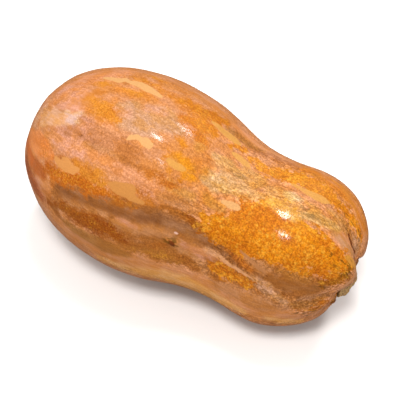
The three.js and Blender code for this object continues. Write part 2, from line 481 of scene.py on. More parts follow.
class Graph:
    """A node tree under construction, with short calls for the nodes that repeat."""

    def __init__(self, tree: bpy.types.NodeTree) -> None:
        """Starts with a tree."""
        self.tree = tree

    def node(self, kind: str, **settings: object) -> bpy.types.Node:
        """Adds a node of a kind and sets its properties."""
        added = self.tree.nodes.new(kind)
        for name, value in settings.items():
            setattr(added, name, value)
        return added

    def feed(self, socket: bpy.types.NodeSocket, value: object) -> None:
        """Links a socket, or sets a plain value on it; None leaves it as it is."""
        if isinstance(value, bpy.types.NodeSocket):
            self.tree.links.new(value, socket)
        elif value is not None:
            socket.default_value = (*value, 1.0) if socket.type == "RGBA" else value

    def fill(self, node: bpy.types.Node, values: dict[str | int, object]) -> None:
        """Feeds inputs of a node, each given by its name or its number."""
        for key, value in values.items():
            self.feed(node.inputs[key], value)

    def math(self, operation: str, first: object, second: object = None,
             third: object = None) -> bpy.types.NodeSocket:
        """A Math node's result."""
        added = self.node("ShaderNodeMath", operation=operation)
        for socket, value in zip(added.inputs, (first, second, third)):
            self.feed(socket, value)
        return added.outputs[0]

    def product(self, *factors: object) -> bpy.types.NodeSocket:
        """The product of several numbers."""
        *rest, result = factors
        for factor in reversed(rest):
            result = self.math("MULTIPLY", factor, result)
        return result

    def vector(self, operation: str, first: object, second: object = None,
               scale: object = None) -> bpy.types.NodeSocket:
        """A Vector Math node's result."""
        added = self.node("ShaderNodeVectorMath", operation=operation)
        self.fill(added, {0: first, 1: second} if scale is None else
                  {0: first, "Scale": scale})
        return added.outputs[0]

    def rise(self, value: object, low: object, high: object, start: object = 0.0,
             end: object = 1.0) -> bpy.types.NodeSocket:
        """A smooth step of a value from start at low to end at high."""
        added = self.node("ShaderNodeMapRange", interpolation_type="SMOOTHSTEP")
        self.fill(added, {"Value": value, "From Min": low, "From Max": high,
                          "To Min": start, "To Max": end})
        return added.outputs["Result"]

    def mix(self, share: object, first: object, second: object,
            blend: str = "MIX") -> bpy.types.NodeSocket:
        """A colour mix's result."""
        added = self.node("ShaderNodeMix", data_type="RGBA", blend_type=blend,
                          clamp_factor=True)
        self.fill(added, {0: share, 6: first, 7: second})
        return added.outputs[2]

    def tone(self, share: object, colour: object, dark: Rgb, light: Rgb
             ) -> bpy.types.NodeSocket:
        """A colour multiplied by a dark tone or by a light one, as a share says."""
        return self.mix(share, self.mix(1.0, colour, dark, "MULTIPLY"),
                        self.mix(1.0, colour, light, "MULTIPLY"))

    def blend(self, share: object, first: object, second: object) -> bpy.types.NodeSocket:
        """A blend of two numbers."""
        added = self.node("ShaderNodeMix", data_type="FLOAT", clamp_factor=True)
        self.fill(added, {0: share, 2: first, 3: second})
        return added.outputs[0]

    def attribute(self, name: str, output: str = "Fac") -> bpy.types.NodeSocket:
        """A mesh attribute."""
        return self.node("ShaderNodeAttribute", attribute_name=name).outputs[output]

    def place(self) -> bpy.types.NodeSocket:
        """Object coordinates, in metres."""
        return self.node("ShaderNodeTexCoord").outputs["Object"]

    def texture(self, where: object, scale: object, detail: float,
                roughness: float = 0.5) -> bpy.types.Node:
        """A noise texture."""
        added = self.node("ShaderNodeTexNoise", noise_dimensions="3D")
        self.fill(added, {"Vector": where, "Scale": scale, "Detail": detail,
                          "Roughness": roughness})
        return added

    def noise(self, where: object, swells: Swells) -> bpy.types.NodeSocket:
        """Noise as its settings say."""
        return self.texture(where, 1.0 / swells.size, swells.detail,
                            swells.roughness).outputs["Fac"]

    def draw_out(self, where: object, share: float) -> bpy.types.NodeSocket:
        """Coordinates whose first axis is scaled, which draws a pattern out along it."""
        added = self.node("ShaderNodeMapping")
        self.fill(added, {"Vector": where, "Scale": (share, 1.0, 1.0)})
        return added.outputs["Vector"]

    def bump(self, height: object) -> bpy.types.NodeSocket:
        """The normal over a relief whose height is in millimetres."""
        added = self.node("ShaderNodeBump")
        self.fill(added, {"Distance": MM, "Strength": 1.0, "Height": height})
        return added.outputs["Normal"]

    def group(self, name: str, **values: object) -> bpy.types.NodeOutputs:
        """The outputs of a shader node group, with values for its inputs."""
        added = self.node("ShaderNodeGroup", node_tree=bpy.data.node_groups[name])
        self.fill(added, values)
        return added.outputs


def new_material(name: str) -> tuple[bpy.types.Material, Graph, bpy.types.Node]:
    """Starts a material; gives it, its graph and its Principled BSDF."""
    material = bpy.data.materials.new(name)
    material.use_nodes = True
    return material, Graph(material.node_tree), material.node_tree.nodes["Principled BSDF"]


# ------------------------------------------------------------------ studio

@dataclass(frozen=True)
class Softbox:
    """A square soft light: its name, its direction from the squash and how it shines.

    The direction is given to the right of the view, away from the camera and up. A light
    without glints isn't mirrored by the skin's gloss.
    """

    name: str
    towards: tuple[float, float, float]
    distance: float
    width: float
    power: float
    glints: bool = True
    aim_height: float = 0.06

    def hang(self, view: View) -> None:
        """Makes the light, facing the squash."""
        right, _, back = view.axes()
        away = Vector((-back.x, -back.y, 0.0)).normalized()
        side, depth, height = self.towards
        direction = (right * side + away * depth + Vector((0, 0, height))).normalized()
        lamp = bpy.data.lights.new(self.name, "AREA")
        lamp.shape = "SQUARE"
        lamp.size = self.width
        lamp.energy = self.power
        spot = direction * self.distance + Vector((0, 0, self.aim_height))
        aim(self.name, lamp, spot, direction).visible_glossy = self.glints


@dataclass
class Studio:
    """The white table, its lights and the even light all round."""

    floor_width: float = 12.0
    floor_drop: float = 0.0003
    floor_colour: Rgb = (0.62, 0.595, 0.58)
    floor_gloss: Rgb = (0.12, 0.12, 0.12)
    floor_roughness: float = 0.9
    sky_colour: Rgb = (1.0, 1.0, 1.0)
    sky_strength: float = 0.8
    sky_gloss: float = 0.1
    softboxes: tuple[Softbox, ...] = (
        Softbox("far light", (0.45, 0.55, 0.7), 1.3, 0.26, 8.5),
        Softbox("top light", (0.04, 0.11, 0.99), 1.3, 0.2, 5.5),
        Softbox("near light", (-0.06, -0.43, 0.9), 1.3, 0.2, 4.5),
        Softbox("left light", (-0.85, -0.1, 0.5), 1.5, 0.9, 5.0),
        Softbox("key light", (-0.06, -0.43, 0.9), 1.3, 0.3, 14.5, glints=False),
    )

    def build(self, view: View) -> None:
        """Lays the floor and lights it."""
        self.lay_floor()
        for softbox in self.softboxes:
            softbox.hang(view)
        self.light_sky()
        bpy.context.scene.view_settings.view_transform = "Standard"

    def lay_floor(self) -> None:
        """Lays the white table, which is darker in the skin's gloss than to the eye."""
        shape = bmesh.new()
        bmesh.ops.create_grid(shape, x_segments=1, y_segments=1, size=self.floor_width / 2)
        bmesh.ops.translate(shape, verts=shape.verts, vec=(0, 0, -self.floor_drop))
        floor = mesh_object("floor", shape)
        white, graph, shader = new_material("floor white")
        path = graph.node("ShaderNodeLightPath")
        colour = graph.mix(path.outputs["Is Glossy Ray"], self.floor_colour, self.floor_gloss)
        graph.fill(shader, {"Base Color": colour, "Roughness": self.floor_roughness,
                            "Specular IOR Level": 0.0})
        floor.data.materials.append(white)

    def light_sky(self) -> None:
        """Lights the scene evenly from all round, and more weakly in the skin's gloss."""
        world = bpy.data.worlds.new("studio")
        world.use_nodes = True
        graph = Graph(world.node_tree)
        path = graph.node("ShaderNodeLightPath")
        strength = graph.blend(path.outputs["Is Glossy Ray"], self.sky_strength,
                               self.sky_gloss)
        graph.fill(world.node_tree.nodes["Background"],
                   {"Color": self.sky_colour, "Strength": strength})
        bpy.context.scene.world = world


# ------------------------------------------------------------------ shader groups

def new_group(name: str, inputs: dict[str, tuple[str, object]],
              outputs: dict[str, str]) -> tuple[Graph, bpy.types.Node, bpy.types.Node]:
    """Starts a shader node group.

    Args:
        name: the group's name.
        inputs: each input's name, with its socket type and default value.
        outputs: each output's name, with its socket type.

    Returns:
        The group's graph, its input node and its output node.
    """
    tree = bpy.data.node_groups.new(name, "ShaderNodeTree")
    for label, (kind, value) in inputs.items():
        socket = tree.interface.new_socket(label, in_out="INPUT", socket_type=kind)
        if value is not None:
            socket.default_value = value
    for label, kind in outputs.items():
        tree.interface.new_socket(label, in_out="OUTPUT", socket_type=kind)
    graph = Graph(tree)
    return graph, graph.node("NodeGroupInput"), graph.node("NodeGroupOutput")


FLOAT, VECTOR, COLOUR = "NodeSocketFloat", "NodeSocketVector", "NodeSocketColor"


@dataclass(frozen=True)
class Specks:
    """Specks: crowded round-ish grains of uneven size, as loose dots and as a fine net.

    A fineness is the number of swells in a grain. The dots' sizes and strengths are shares.
    """

    warp_fineness: float = 1.1
    warp_reach: float = 2.0
    least_size: float = 0.65
    more_size: float = 0.7
    solid: float = 0.5
    least_strength: float = 0.4
    more_strength: float = 0.6
    vein_fineness: float = 0.55
    vein: Ramp = Ramp(0.0, 0.085)
    blob_fineness: float = 0.8
    blob: Ramp = Ramp(0.38, 0.64, 0.35, 1.0)

    def build(self) -> None:
        """Makes the node group."""
        graph, given, result = new_group(
            "specks",
            {"Where": (VECTOR, None), "Size": (FLOAT, 0.002), "Cover": (FLOAT, 0.5),
             "Warp": (FLOAT, 0.3)},
            {"Dots": FLOAT, "Net": FLOAT})
        where, size, cover, warp = given.outputs[:4]
        swirl = graph.texture(where, graph.math("DIVIDE", self.warp_fineness, size), 1.0)
        push = graph.vector("SUBTRACT", swirl.outputs["Color"], (0.5, 0.5, 0.5))
        far = graph.math("MULTIPLY", graph.math("MULTIPLY", size, warp), self.warp_reach)
        density = graph.math("DIVIDE", 1.0, size)
        cells = graph.node("ShaderNodeTexVoronoi", feature="F1")
        moved = graph.vector("ADD", where, graph.vector("SCALE", push, scale=far))
        graph.fill(cells, {"Vector": moved, "Scale": density})
        chance = graph.node("ShaderNodeSeparateColor")
        graph.feed(chance.inputs[0], cells.outputs["Color"])
        uneven = graph.math("MULTIPLY_ADD", chance.outputs[0], self.more_size,
                            self.least_size)
        reach = graph.math("MULTIPLY", uneven, cover)
        strength = graph.math("MULTIPLY_ADD", chance.outputs[1], self.more_strength,
                              self.least_strength)
        dots = graph.rise(cells.outputs["Distance"],
                          graph.math("MULTIPLY", reach, self.solid), reach, strength, 0.0)
        veins = graph.texture(where, graph.math("MULTIPLY", density, self.vein_fineness), 1.0)
        blobs = graph.texture(where, graph.math("MULTIPLY", density, self.blob_fineness), 2.0)
        off_vein = graph.math("ABSOLUTE",
                              graph.math("SUBTRACT", veins.outputs["Fac"], 0.5))
        net = graph.product(graph.rise(off_vein, *self.vein),
                            graph.rise(blobs.outputs["Fac"], *self.blob))
        graph.fill(result, {"Dots": dots, "Net": net})


@dataclass(frozen=True)
class Fibres:
    """Fibres: fine strands that run along the first axis of the coordinates."""

    detail: float = 3.0
    roughness: float = 0.6
    strand: Ramp = Ramp(0.3, 0.7)

    def build(self) -> None:
        """Makes the node group."""
        graph, given, result = new_group(
            "fibres",
            {"Flow": (VECTOR, None), "Width": (FLOAT, 0.001), "Length": (FLOAT, 10.0)},
            {"Fibres": FLOAT})
        flow, width, length = given.outputs[:3]
        squeeze = graph.node("ShaderNodeCombineXYZ")
        graph.fill(squeeze, {0: graph.math("DIVIDE", 1.0, length), 1: 1.0, 2: 1.0})
        strands = graph.texture(graph.vector("MULTIPLY", flow, squeeze.outputs[0]),
                                graph.math("DIVIDE", 1.0, width), self.detail,
                                self.roughness)
        graph.feed(result.inputs["Fibres"],
                   graph.rise(strands.outputs["Fac"], *self.strand))


@dataclass(frozen=True)
class Fray:
    """Fray: breaks up the edge of a painted field, given in millimetres inside it."""

    wander: Swells = Swells(0.006, 4.0, 0.65)
    streaks: Swells = Swells(0.0018, 2.0, 0.6)
    streak_share: float = 0.3

    def build(self) -> None:
        """Makes the node group."""
        graph, given, result = new_group(
            "fray",
            {"Where": (VECTOR, None), "Flow": (VECTOR, None), "Inside": (FLOAT, 0.0),
             "Wander": (FLOAT, 2.0), "Streaks": (FLOAT, 1.0), "Softness": (FLOAT, 0.5)},
            {"Mask": FLOAT})
        where, flow, total, wander, streaks, softness = given.outputs[:6]
        along = graph.draw_out(flow, self.streak_share)
        for place, swells, amount in ((where, self.wander, wander),
                                      (along, self.streaks, streaks)):
            swing = graph.math("SUBTRACT", graph.noise(place, swells), 0.5)
            total = graph.math("MULTIPLY_ADD", swing, amount, total)
        graph.feed(result.inputs["Mask"],
                   graph.rise(total, graph.math("MULTIPLY", softness, -1.0), softness))


# ------------------------------------------------------------------ paints

class Coat(Enum):
    """What a brush stroke on the skin changes."""

    GROUND = "the soft ground colour"
    FLAME = "a saturated patch with a frayed edge"
    PALE = "a smooth blotch with a crisp edge"
    SMOOTH = "how little the grain of the skin shows"
    STREAKY = "how much the grain is drawn out along the fruit"
    OLIVE = "how many olive flecks there are"
    SHINE = "how glossy the skin is"


class Tint(Enum):
    """The skin's colours as they look in full light, 0 to 255 a channel. A few are painted light:
    highlights, glints and bounce light laid into the skin's colour.
    """

    APRICOT = (230, 153, 98)
    PEACH = (240, 158, 106)
    PINK = (241, 166, 128)
    CHEEK = (246, 181, 134)
    BLUSH = (244, 194, 170)
    ROSE = (222, 149, 112)
    CLAY = (212, 136, 84)
    SAND = (218, 159, 116)
    MARIGOLD = (228, 144, 68)
    CORAL = (248, 150, 80)
    BRICK = (202, 110, 50)
    RUSSET = (204, 116, 32)
    GOLD = (222, 150, 56)
    HONEY = (228, 160, 86)
    SAGE = (220, 166, 96)
    FAWN = (232, 180, 124)
    LILAC = (184, 124, 80)
    MAUVE = (166, 104, 58)
    PLUM = (150, 90, 46)
    TAN = (204, 135, 80)
    COPPER = (183, 108, 38)
    BUFF = (193, 125, 58)
    SIENNA = (230, 150, 84)
    BROWN = (179, 111, 52)
    UMBER = (168, 84, 2)
    EMBER = (212, 112, 10)
    ORANGE = (231, 141, 16)
    AMBER = (222, 127, 2)
    OCHRE = (215, 122, 6)
    TANGERINE = (226, 138, 44)
    CREAM = (240, 179, 112)
    BISCUIT = (223, 149, 74)
    STRAW = (234, 166, 78)
    OLIVE = (150, 100, 16)
    SOOT = (120, 52, 4)
    # painted highlight: the light on lit edges of folds and of the nose's rim
    LIT_EDGE_HIGHLIGHT = (226, 160, 108)
    # partly painted light: a pale tan made lighter still as painted bounce light from the table
    SUNNY = (254, 184, 110)
    CHESTNUT = (190, 100, 48)
    DUSK = (208, 147, 100)
    HAZEL = (182, 113, 56)
    WHEAT = (230, 170, 106)
    # painted highlight: a pale spot where the neck glints
    GLINT_IVORY = (240, 200, 148)
    NUT = (172, 97, 6)
    MELON = (240, 162, 86)
    PAPRIKA = (222, 112, 38)
    DOT = (252, 176, 52)
    # painted glints: pale specks at the peaks of the pores
    GLINT_SPECK = (255, 192, 96)


@dataclass(frozen=True)
class Stroke:
    """Brush strokes of one paint on the skin.

    Each path runs through places in the camera's picture, each with the stroke's width
    there in millimetres. Softness is about the width of the edge, in millimetres.
    """

    name: str
    coat: Coat
    tint: Tint | None
    paths: tuple[Path, ...] = ()
    strength: float = 1.0
    soft: float = 4.0


def soft_strokes(*rows: tuple[str, Tint | Coat, float, float, *tuple[Path, ...]]
                 ) -> tuple[Stroke, ...]:
    """Strokes with soft edges.

    Args:
        rows: each stroke's name, its tint on the ground or else its coat, its strength and
            softness, and its paths.

    Returns:
        The strokes, in the order in which they are laid.
    """
    return tuple(
        Stroke(name, *((Coat.GROUND, kind) if isinstance(kind, Tint) else (kind, None)),
               tuple(paths), strength, soft)
        for name, kind, strength, soft, *paths in rows)


def crisp_strokes(coat: Coat, *rows: tuple[str, Tint, *tuple[Path, ...]]
                  ) -> tuple[Stroke, ...]:
    """Strokes of a coat with frayed or crisp edges: rows of a name, a tint and paths."""
    return tuple(Stroke(name, coat, tint, tuple(paths)) for name, tint, *paths in rows)


GROUNDS = soft_strokes(
    # the bulb, from its far edge down to the lower furrow
    ("peach of the far bulb", Tint.PEACH, 1.0, 8,
     ((48, 102, 18), (60, 92, 22), (80, 83, 20), (104, 76, 12), (130, 72, 8))),
    ("pinks of the far bulb", Tint.PINK, 0.9, 4,
     ((66, 100, 10), (76, 95, 12), (84, 91, 7)), ((50, 100, 6), (58, 95, 9), (68, 87, 7)),
     ((58, 106, 9), (68, 107, 11), (80, 108, 8)), ((150, 74, 4), (162, 77, 5), (172, 80, 4)),
     ((100, 72, 3), (88, 76, 4))),
    ("left of the cheek", Tint.CHEEK, 0.7, 5,
     ((46, 104, 8), (40, 112, 10), (35, 122, 8)), ((45, 112, 10), (56, 113, 9))),
    ("far edge of the crown", Tint.MARIGOLD, 0.8, 4,
     ((166, 84, 8), (186, 91, 9), (206, 101, 9), (222, 112, 8))),
    ("pale band of the cheek", Tint.CHEEK, 1.0, 1.5,
     ((42, 121, 9), (52, 118, 13), (60, 119, 13), (68, 120, 9))),
    ("white of the pale band", Tint.BLUSH, 1.0, 1.6,
     ((66, 121, 4), (72, 119, 8), (78, 117, 9), (83, 117, 6)), ((60, 111, 2), (68, 112, 3))),
    ("rose of the shoulder", Tint.ROSE, 0.9, 3,
     ((83, 117, 5), (88, 122, 9), (92, 129, 7)),
     ((50, 128, 5), (66, 132, 9), (82, 134, 9), (94, 140, 6))),
    ("pinkish fold of the bulb", Tint.PINK, 0.85, 4,
     ((50, 138, 7), (58, 140, 12), (68, 145, 13), (80, 151, 12), (92, 157, 8))),
    ("peach under the far shoulder", Tint.PEACH, 0.8, 3,
     ((98, 117, 5), (106, 121, 8), (114, 125, 5))),
    ("brown spots of the shoulder", Tint.COPPER, 0.6, 1.5,
     ((78, 134, 2), (81, 136, 2.5)), ((64, 132, 2), (68, 134, 2.5)),
     ((59, 110, 1.5), (63, 111, 2))),
    ("clay of the trough", Tint.CLAY, 0.9, 5,
     ((92, 134, 10), (106, 140, 14), (122, 147, 12), (138, 155, 9))),
    # painted shade: a darker line along the trough of the bulb
    ("painted shade of the trough", Tint.TAN, 0.7, 2.5,
     ((84, 143, 4), (96, 150, 5), (108, 155, 6), (120, 161, 5))),
    ("sand of the crown", Tint.SAND, 1.0, 4,
     ((120, 106, 10), (136, 110, 18), (152, 114, 22), (166, 120, 20), (176, 128, 12)),
     ((120, 122, 8), (136, 127, 12), (150, 129, 12))),
    ("pink of the crown", Tint.PINK, 0.5, 3,
     ((148, 107, 7), (162, 112, 8)), ((117, 108, 6), (127, 113, 6))),
    ("oranges of the crown", Tint.MARIGOLD, 0.85, 4,
     ((100, 90, 8), (118, 90, 10), (136, 94, 9), (154, 100, 8)),
     ((88, 100, 8), (98, 108, 14), (110, 116, 11)), ((164, 92, 6), (174, 98, 8), (182, 106, 8)),
     ((176, 146, 9), (188, 156, 13), (197, 166, 13), (194, 178, 11)),
     ((200, 146, 10), (208, 158, 13), (208, 172, 13), (204, 188, 11), (206, 200, 9))),
    ("light fold of the bulb", Tint.PEACH, 0.7, 3,
     ((92, 156, 7), (108, 163, 8), (124, 172, 9), (140, 181, 8), (154, 189, 6))),
    ("brown above the light fold", Tint.COPPER, 0.6, 2.5,
     ((122, 160, 3), (134, 165, 4), (146, 170, 5))),
    ("rose of the flank", Tint.ROSE, 0.8, 2.5, ((142, 191, 4), (149, 196, 5), (156, 203, 4))),
    ("golds of the middle", Tint.GOLD, 0.7, 3,
     ((168, 184, 5), (180, 192, 6), (192, 197, 6)), ((176, 158, 6), (188, 168, 8)),
     ((206, 196, 5), (214, 204, 7), (222, 210, 5)), ((206, 172, 4), (212, 178, 4)),
     ((198, 138, 7), (202, 146, 7))),
    ("tan over the furrow", Tint.TAN, 0.7, 3,
     ((162, 198, 5), (176, 202, 8), (190, 207, 8), (200, 212, 6))),
    ("coral of the left cheek", Tint.CORAL, 1.0, 2,
     ((30, 134, 8), (36, 141, 14), (44, 148, 13), (50, 154, 9))),
    ("brick of the left edge", Tint.BRICK, 0.95, 3,
     ((31, 160, 7), (36, 167, 11), (43, 175, 9)), ((47, 162, 5), (52, 170, 7)),
     ((26, 160, 9), (33, 186, 9), (40, 197, 8))),
    ("chestnut of the left edge", Tint.CHESTNUT, 0.85, 6,
     ((26, 162, 8), (29, 174, 14), (34, 185, 12), (41, 195, 8))),
    ("paprika of the left edge", Tint.PAPRIKA, 0.8, 3, ((27, 138, 6), (29, 149, 9), (31, 160, 8))),
    ("russets of the left edge", Tint.RUSSET, 0.85, 2.5,
     ((45, 170, 4), (51, 175, 7), (52, 184, 5)), ((42, 190, 5), (49, 196, 6)),
     ((56, 157, 2), (64, 158, 2))),
    ("pink of the left edge", Tint.ROSE, 0.7, 2.5, ((36, 177, 3), (40, 183, 6), (41, 188, 3))),
    ("fawn of the waist", Tint.FAWN, 0.85, 3,
     ((215, 156, 6), (222, 160, 6)), ((206, 180, 6), (216, 185, 10), (224, 190, 7)),
     ((214, 176, 6), (222, 178, 10), (231, 181, 9)), ((229, 163, 4), (233, 168, 5))),
    ("sage of the waist", Tint.SAGE, 0.8, 3,
     ((226, 188, 8), (236, 190, 10), (244, 186, 6)), ((236, 171, 4), (242, 178, 5))),
    # the lower furrow, in its own mauve-brown deepened by painted shade of the crease, and the lit
    # fold under it
    ("hazel all along the furrow", Tint.HAZEL, 0.9, 6,
     ((58, 198, 14), (76, 208, 22), (98, 215, 29), (122, 224, 33), (150, 232, 36), (180, 240, 36),
      (205, 248, 34), (226, 262, 26), (250, 274, 26), (278, 286, 22), (304, 292, 18))),
    ("mauve of the furrow", Tint.MAUVE, 1.0, 4.5,
     ((58, 187, 7), (72, 194, 9), (88, 200, 12), (104, 206, 12), (120, 211, 12), (136, 216, 14),
      (152, 221, 14), (168, 226, 12), (184, 231, 11), (198, 238, 10), (206, 244, 8))),
    ("plums of the furrow", Tint.PLUM, 0.8, 4.5,
     ((60, 187, 3), (68, 191, 4), (80, 196, 4), (90, 199, 3)),
     ((108, 209, 4), (118, 213, 4), (128, 217, 3)), ((138, 218, 5), (147, 221, 6), (157, 221, 4)),
     ((204, 244, 3), (208, 248, 3)), ((66, 196, 2), (74, 199, 3)), ((130, 221, 2), (140, 225, 3)),
     ((156, 222, 4), (164, 223, 4))),
    ("lilacs of the furrow", Tint.LILAC, 0.75, 4,
     ((93, 197, 3), (102, 199, 4), (110, 203, 3)), ((166, 224, 5), (177, 228, 6), (188, 232, 5)),
     ((198, 235, 4), (203, 238, 4)), ((72, 192, 2), (79, 194, 3)), ((126, 209, 3), (134, 212, 3))),
    ("russet over the furrow", Tint.COPPER, 0.85, 1.5,
     ((108, 203, 3), (116, 205, 4), (126, 206, 3)),
     ((162, 206, 3), (172, 211, 4), (183, 216, 5), (193, 223, 4))),
    ("streaks under the furrow", Tint.TAN, 0.7, 1.5,
     ((62, 201, 3), (74, 206, 5), (90, 211, 6), (106, 216, 4))),
    ("lit fold on the bulb", Tint.TAN, 1.0, 3,
     ((116, 221, 7), (130, 227, 9), (146, 231, 9), (162, 234, 7), (176, 241, 8), (188, 249, 11),
      (198, 256, 12), (206, 266, 12))),
    ("pinks of the lit fold", Tint.ROSE, 0.75, 2.5,
     ((198, 252, 6), (207, 256, 10), (216, 257, 8), (222, 261, 4)),
     ((116, 218, 2.5), (126, 223, 3), (136, 227, 2.5)), ((184, 244, 5), (192, 250, 5))),
    # the lower side
    ("sienna of the lower side", Tint.SIENNA, 1.0, 6,
     ((52, 214, 5), (62, 228, 7), (80, 244, 8), (104, 258, 9), (132, 266, 12), (164, 274, 13),
      (196, 286, 12), (224, 304, 10), (250, 316, 10), (284, 320, 9))),
    # partly painted light: the pale tan of the lower side, made lighter as painted bounce light
    # from the table
    ("palest of the lower side, with painted bounce light", Tint.SUNNY, 1.0, 5,
     ((100, 259, 6), (112, 264, 9), (126, 269, 12), (144, 273, 14), (164, 277, 17), (186, 285, 19),
      (208, 295, 18), (226, 304, 12), (242, 312, 7)),
     ((268, 319, 6), (284, 322, 9), (300, 322, 6))),
    ("copper at the end of the lower lobe", Tint.COPPER, 0.9, 2.5,
     ((48, 201, 4), (54, 209, 7), (59, 217, 5))),
    ("olive tan of the lower lobe", Tint.BUFF, 1.0, 3,
     ((64, 222, 6), (80, 234, 10), (94, 242, 14), (110, 249, 12), (126, 255, 8))),
    ("coppers by the wart", Tint.COPPER, 0.85, 2.5,
     ((116, 240, 5), (130, 248, 8), (146, 250, 9), (160, 250, 9), (171, 252, 8)),
     ((142, 238, 4), (154, 239, 5), (166, 243, 5)), ((176, 258, 5), (188, 262, 8), (198, 269, 5))),
    ("tans of the lower side", Tint.TAN, 0.85, 4,
     ((208, 274, 8), (218, 284, 11), (232, 292, 12), (250, 300, 14), (272, 304, 14),
      (296, 304, 9))),
    ("brown under the furrow", Tint.BROWN, 1.0, 2.5,
     ((260, 277, 6), (276, 283, 10), (292, 287, 12), (308, 289, 11), (322, 288, 7))),
    ("fawn by the stem end", Tint.LILAC, 0.8, 2.5, ((300, 299, 5), (314, 298, 6), (328, 295, 5))),
    ("copper under the great patch", Tint.COPPER, 0.9, 4,
     ((222, 243, 4), (238, 251, 8), (252, 257, 9), (264, 263, 9), (278, 267, 9), (294, 271, 10),
      (308, 274, 9), (322, 279, 8), (338, 281, 6))),
    ("rose under the great patch", Tint.ROSE, 0.6, 2,
     ((308, 272, 2), (317, 275, 3), (325, 279, 2)), ((336, 240, 4), (340, 243, 4))),
    # painted shade: a thin dark line in the crease just above the light line of the ridge
    ("painted shade by the ridge", Tint.MAUVE, 1.0, 1.2,
     ((210, 247, 5), (220, 252, 6), (230, 259, 5), (240, 267, 5), (250, 275, 5), (260, 280, 4))),
    ("russet by the ridge", Tint.RUSSET, 0.85, 1.5,
     ((226, 250, 4), (235, 257, 6), (243, 265, 5), (250, 271, 3))),
    ("light finger", Tint.TAN, 1.0, 1.2,
     ((241, 252, 3), (247, 257, 4), (254, 264, 6), (262, 268, 9), (270, 266, 6))),
    ("side of the ochre patch", Tint.COPPER, 0.8, 3,
     ((208, 262, 5), (212, 270, 7), (218, 279, 6))),
    # painted highlight: a thin light line along the lit edge of the fold under the furrow
    ("painted highlight of the ridge", Tint.LIT_EDGE_HIGHLIGHT, 0.8, 1.5,
     ((207, 250, 5), (214, 254, 4), (220, 258, 2)),
     ((229, 264.5, 2), (238, 269.5, 2), (247, 275.5, 2))),
    ("foot of the ridge", Tint.SAND, 0.8, 2.5,
     ((252, 278.5, 4), (260, 285, 7), (268, 291, 8), (277, 297, 6), (284, 302, 4))),
    # the neck
    ("golds of the neck", Tint.GOLD, 0.85, 3,
     ((252, 186, 9), (262, 183, 8), (257, 176, 5)), ((242, 196, 7), (256, 196, 8), (268, 196, 5)),
     ((300, 199, 4), (310, 205, 6), (319, 212, 5), (308, 212, 4))),
    ("brown on the under edge of the great patch", Tint.BUFF, 0.9, 3,
     ((280, 271, 4), (294, 276, 7), (306, 280, 6)), ((296, 306, 6), (312, 305, 8), (322, 300, 5))),
    ("honey of the neck", Tint.HONEY, 0.9, 4,
     ((272, 190, 10), (286, 197, 12), (297, 206, 12), (296, 215, 8)),
     ((248, 170, 6), (254, 178, 6))),
    ("sage of the upper furrow", Tint.SAGE, 0.9, 2.5,
     ((304, 216, 7), (316, 218, 8), (328, 222, 8), (337, 229, 6))),
    ("fawn by the crack", Tint.HONEY, 0.8, 3, ((330, 211, 5), (341, 220, 8), (348, 229, 7))),
    ("dusk by the crack", Tint.DUSK, 0.9, 2,
     ((335, 234, 5), (343, 241, 8), (349, 249, 6), (354, 256, 4)),
     ((352, 236, 4), (358, 243, 8), (357, 251, 5))),
    ("far band of the neck", Tint.TANGERINE, 1.0, 3,
     ((300, 166, 8), (322, 177, 12), (342, 189, 14), (358, 206, 13), (366, 228, 10))),
    ("pinks of the far band", Tint.ROSE, 0.4, 2,
     ((322, 174, 2.5), (330, 180, 4), (339, 187, 3)),
     ((352, 197, 3), (359, 208, 4), (363, 220, 3))),
    ("wheat of the waist", Tint.WHEAT, 0.7, 5,
     ((220, 162, 8), (230, 172, 13), (240, 184, 15), (251, 195, 11), (263, 200, 7))),
    ("brown above the crack", Tint.BUFF, 0.8, 2, ((343, 221, 5), (349, 229, 6), (353, 235, 4))),
    ("crack", Tint.SOOT, 1.0, 0.8,
     ((350, 234, 1.6), (351.5, 240, 2.2), (353.5, 247, 2.4), (355, 253, 2.2), (355.5, 260, 1.8))),
    # painted highlight: a pale spot where the neck glints
    ("painted highlight of the neck", Tint.GLINT_IVORY, 0.8, 3, ((287, 193, 4), (293, 196, 8), (299, 199, 5))),
    # the far waist
    ("brown of the far waist", Tint.BUFF, 0.95, 2,
     ((228, 127, 4), (240, 136, 6), (252, 145, 7), (264, 151, 4))),
    ("pink edge of the far waist", Tint.PEACH, 0.8, 2,
     ((234, 124, 3), (244, 132, 4), (254, 139, 3))),
    ("clay of the far waist", Tint.CLAY, 1.0, 2.5,
     ((244, 146, 3), (258, 152, 6), (272, 156, 8), (288, 162, 7), (299, 166, 4))),
)

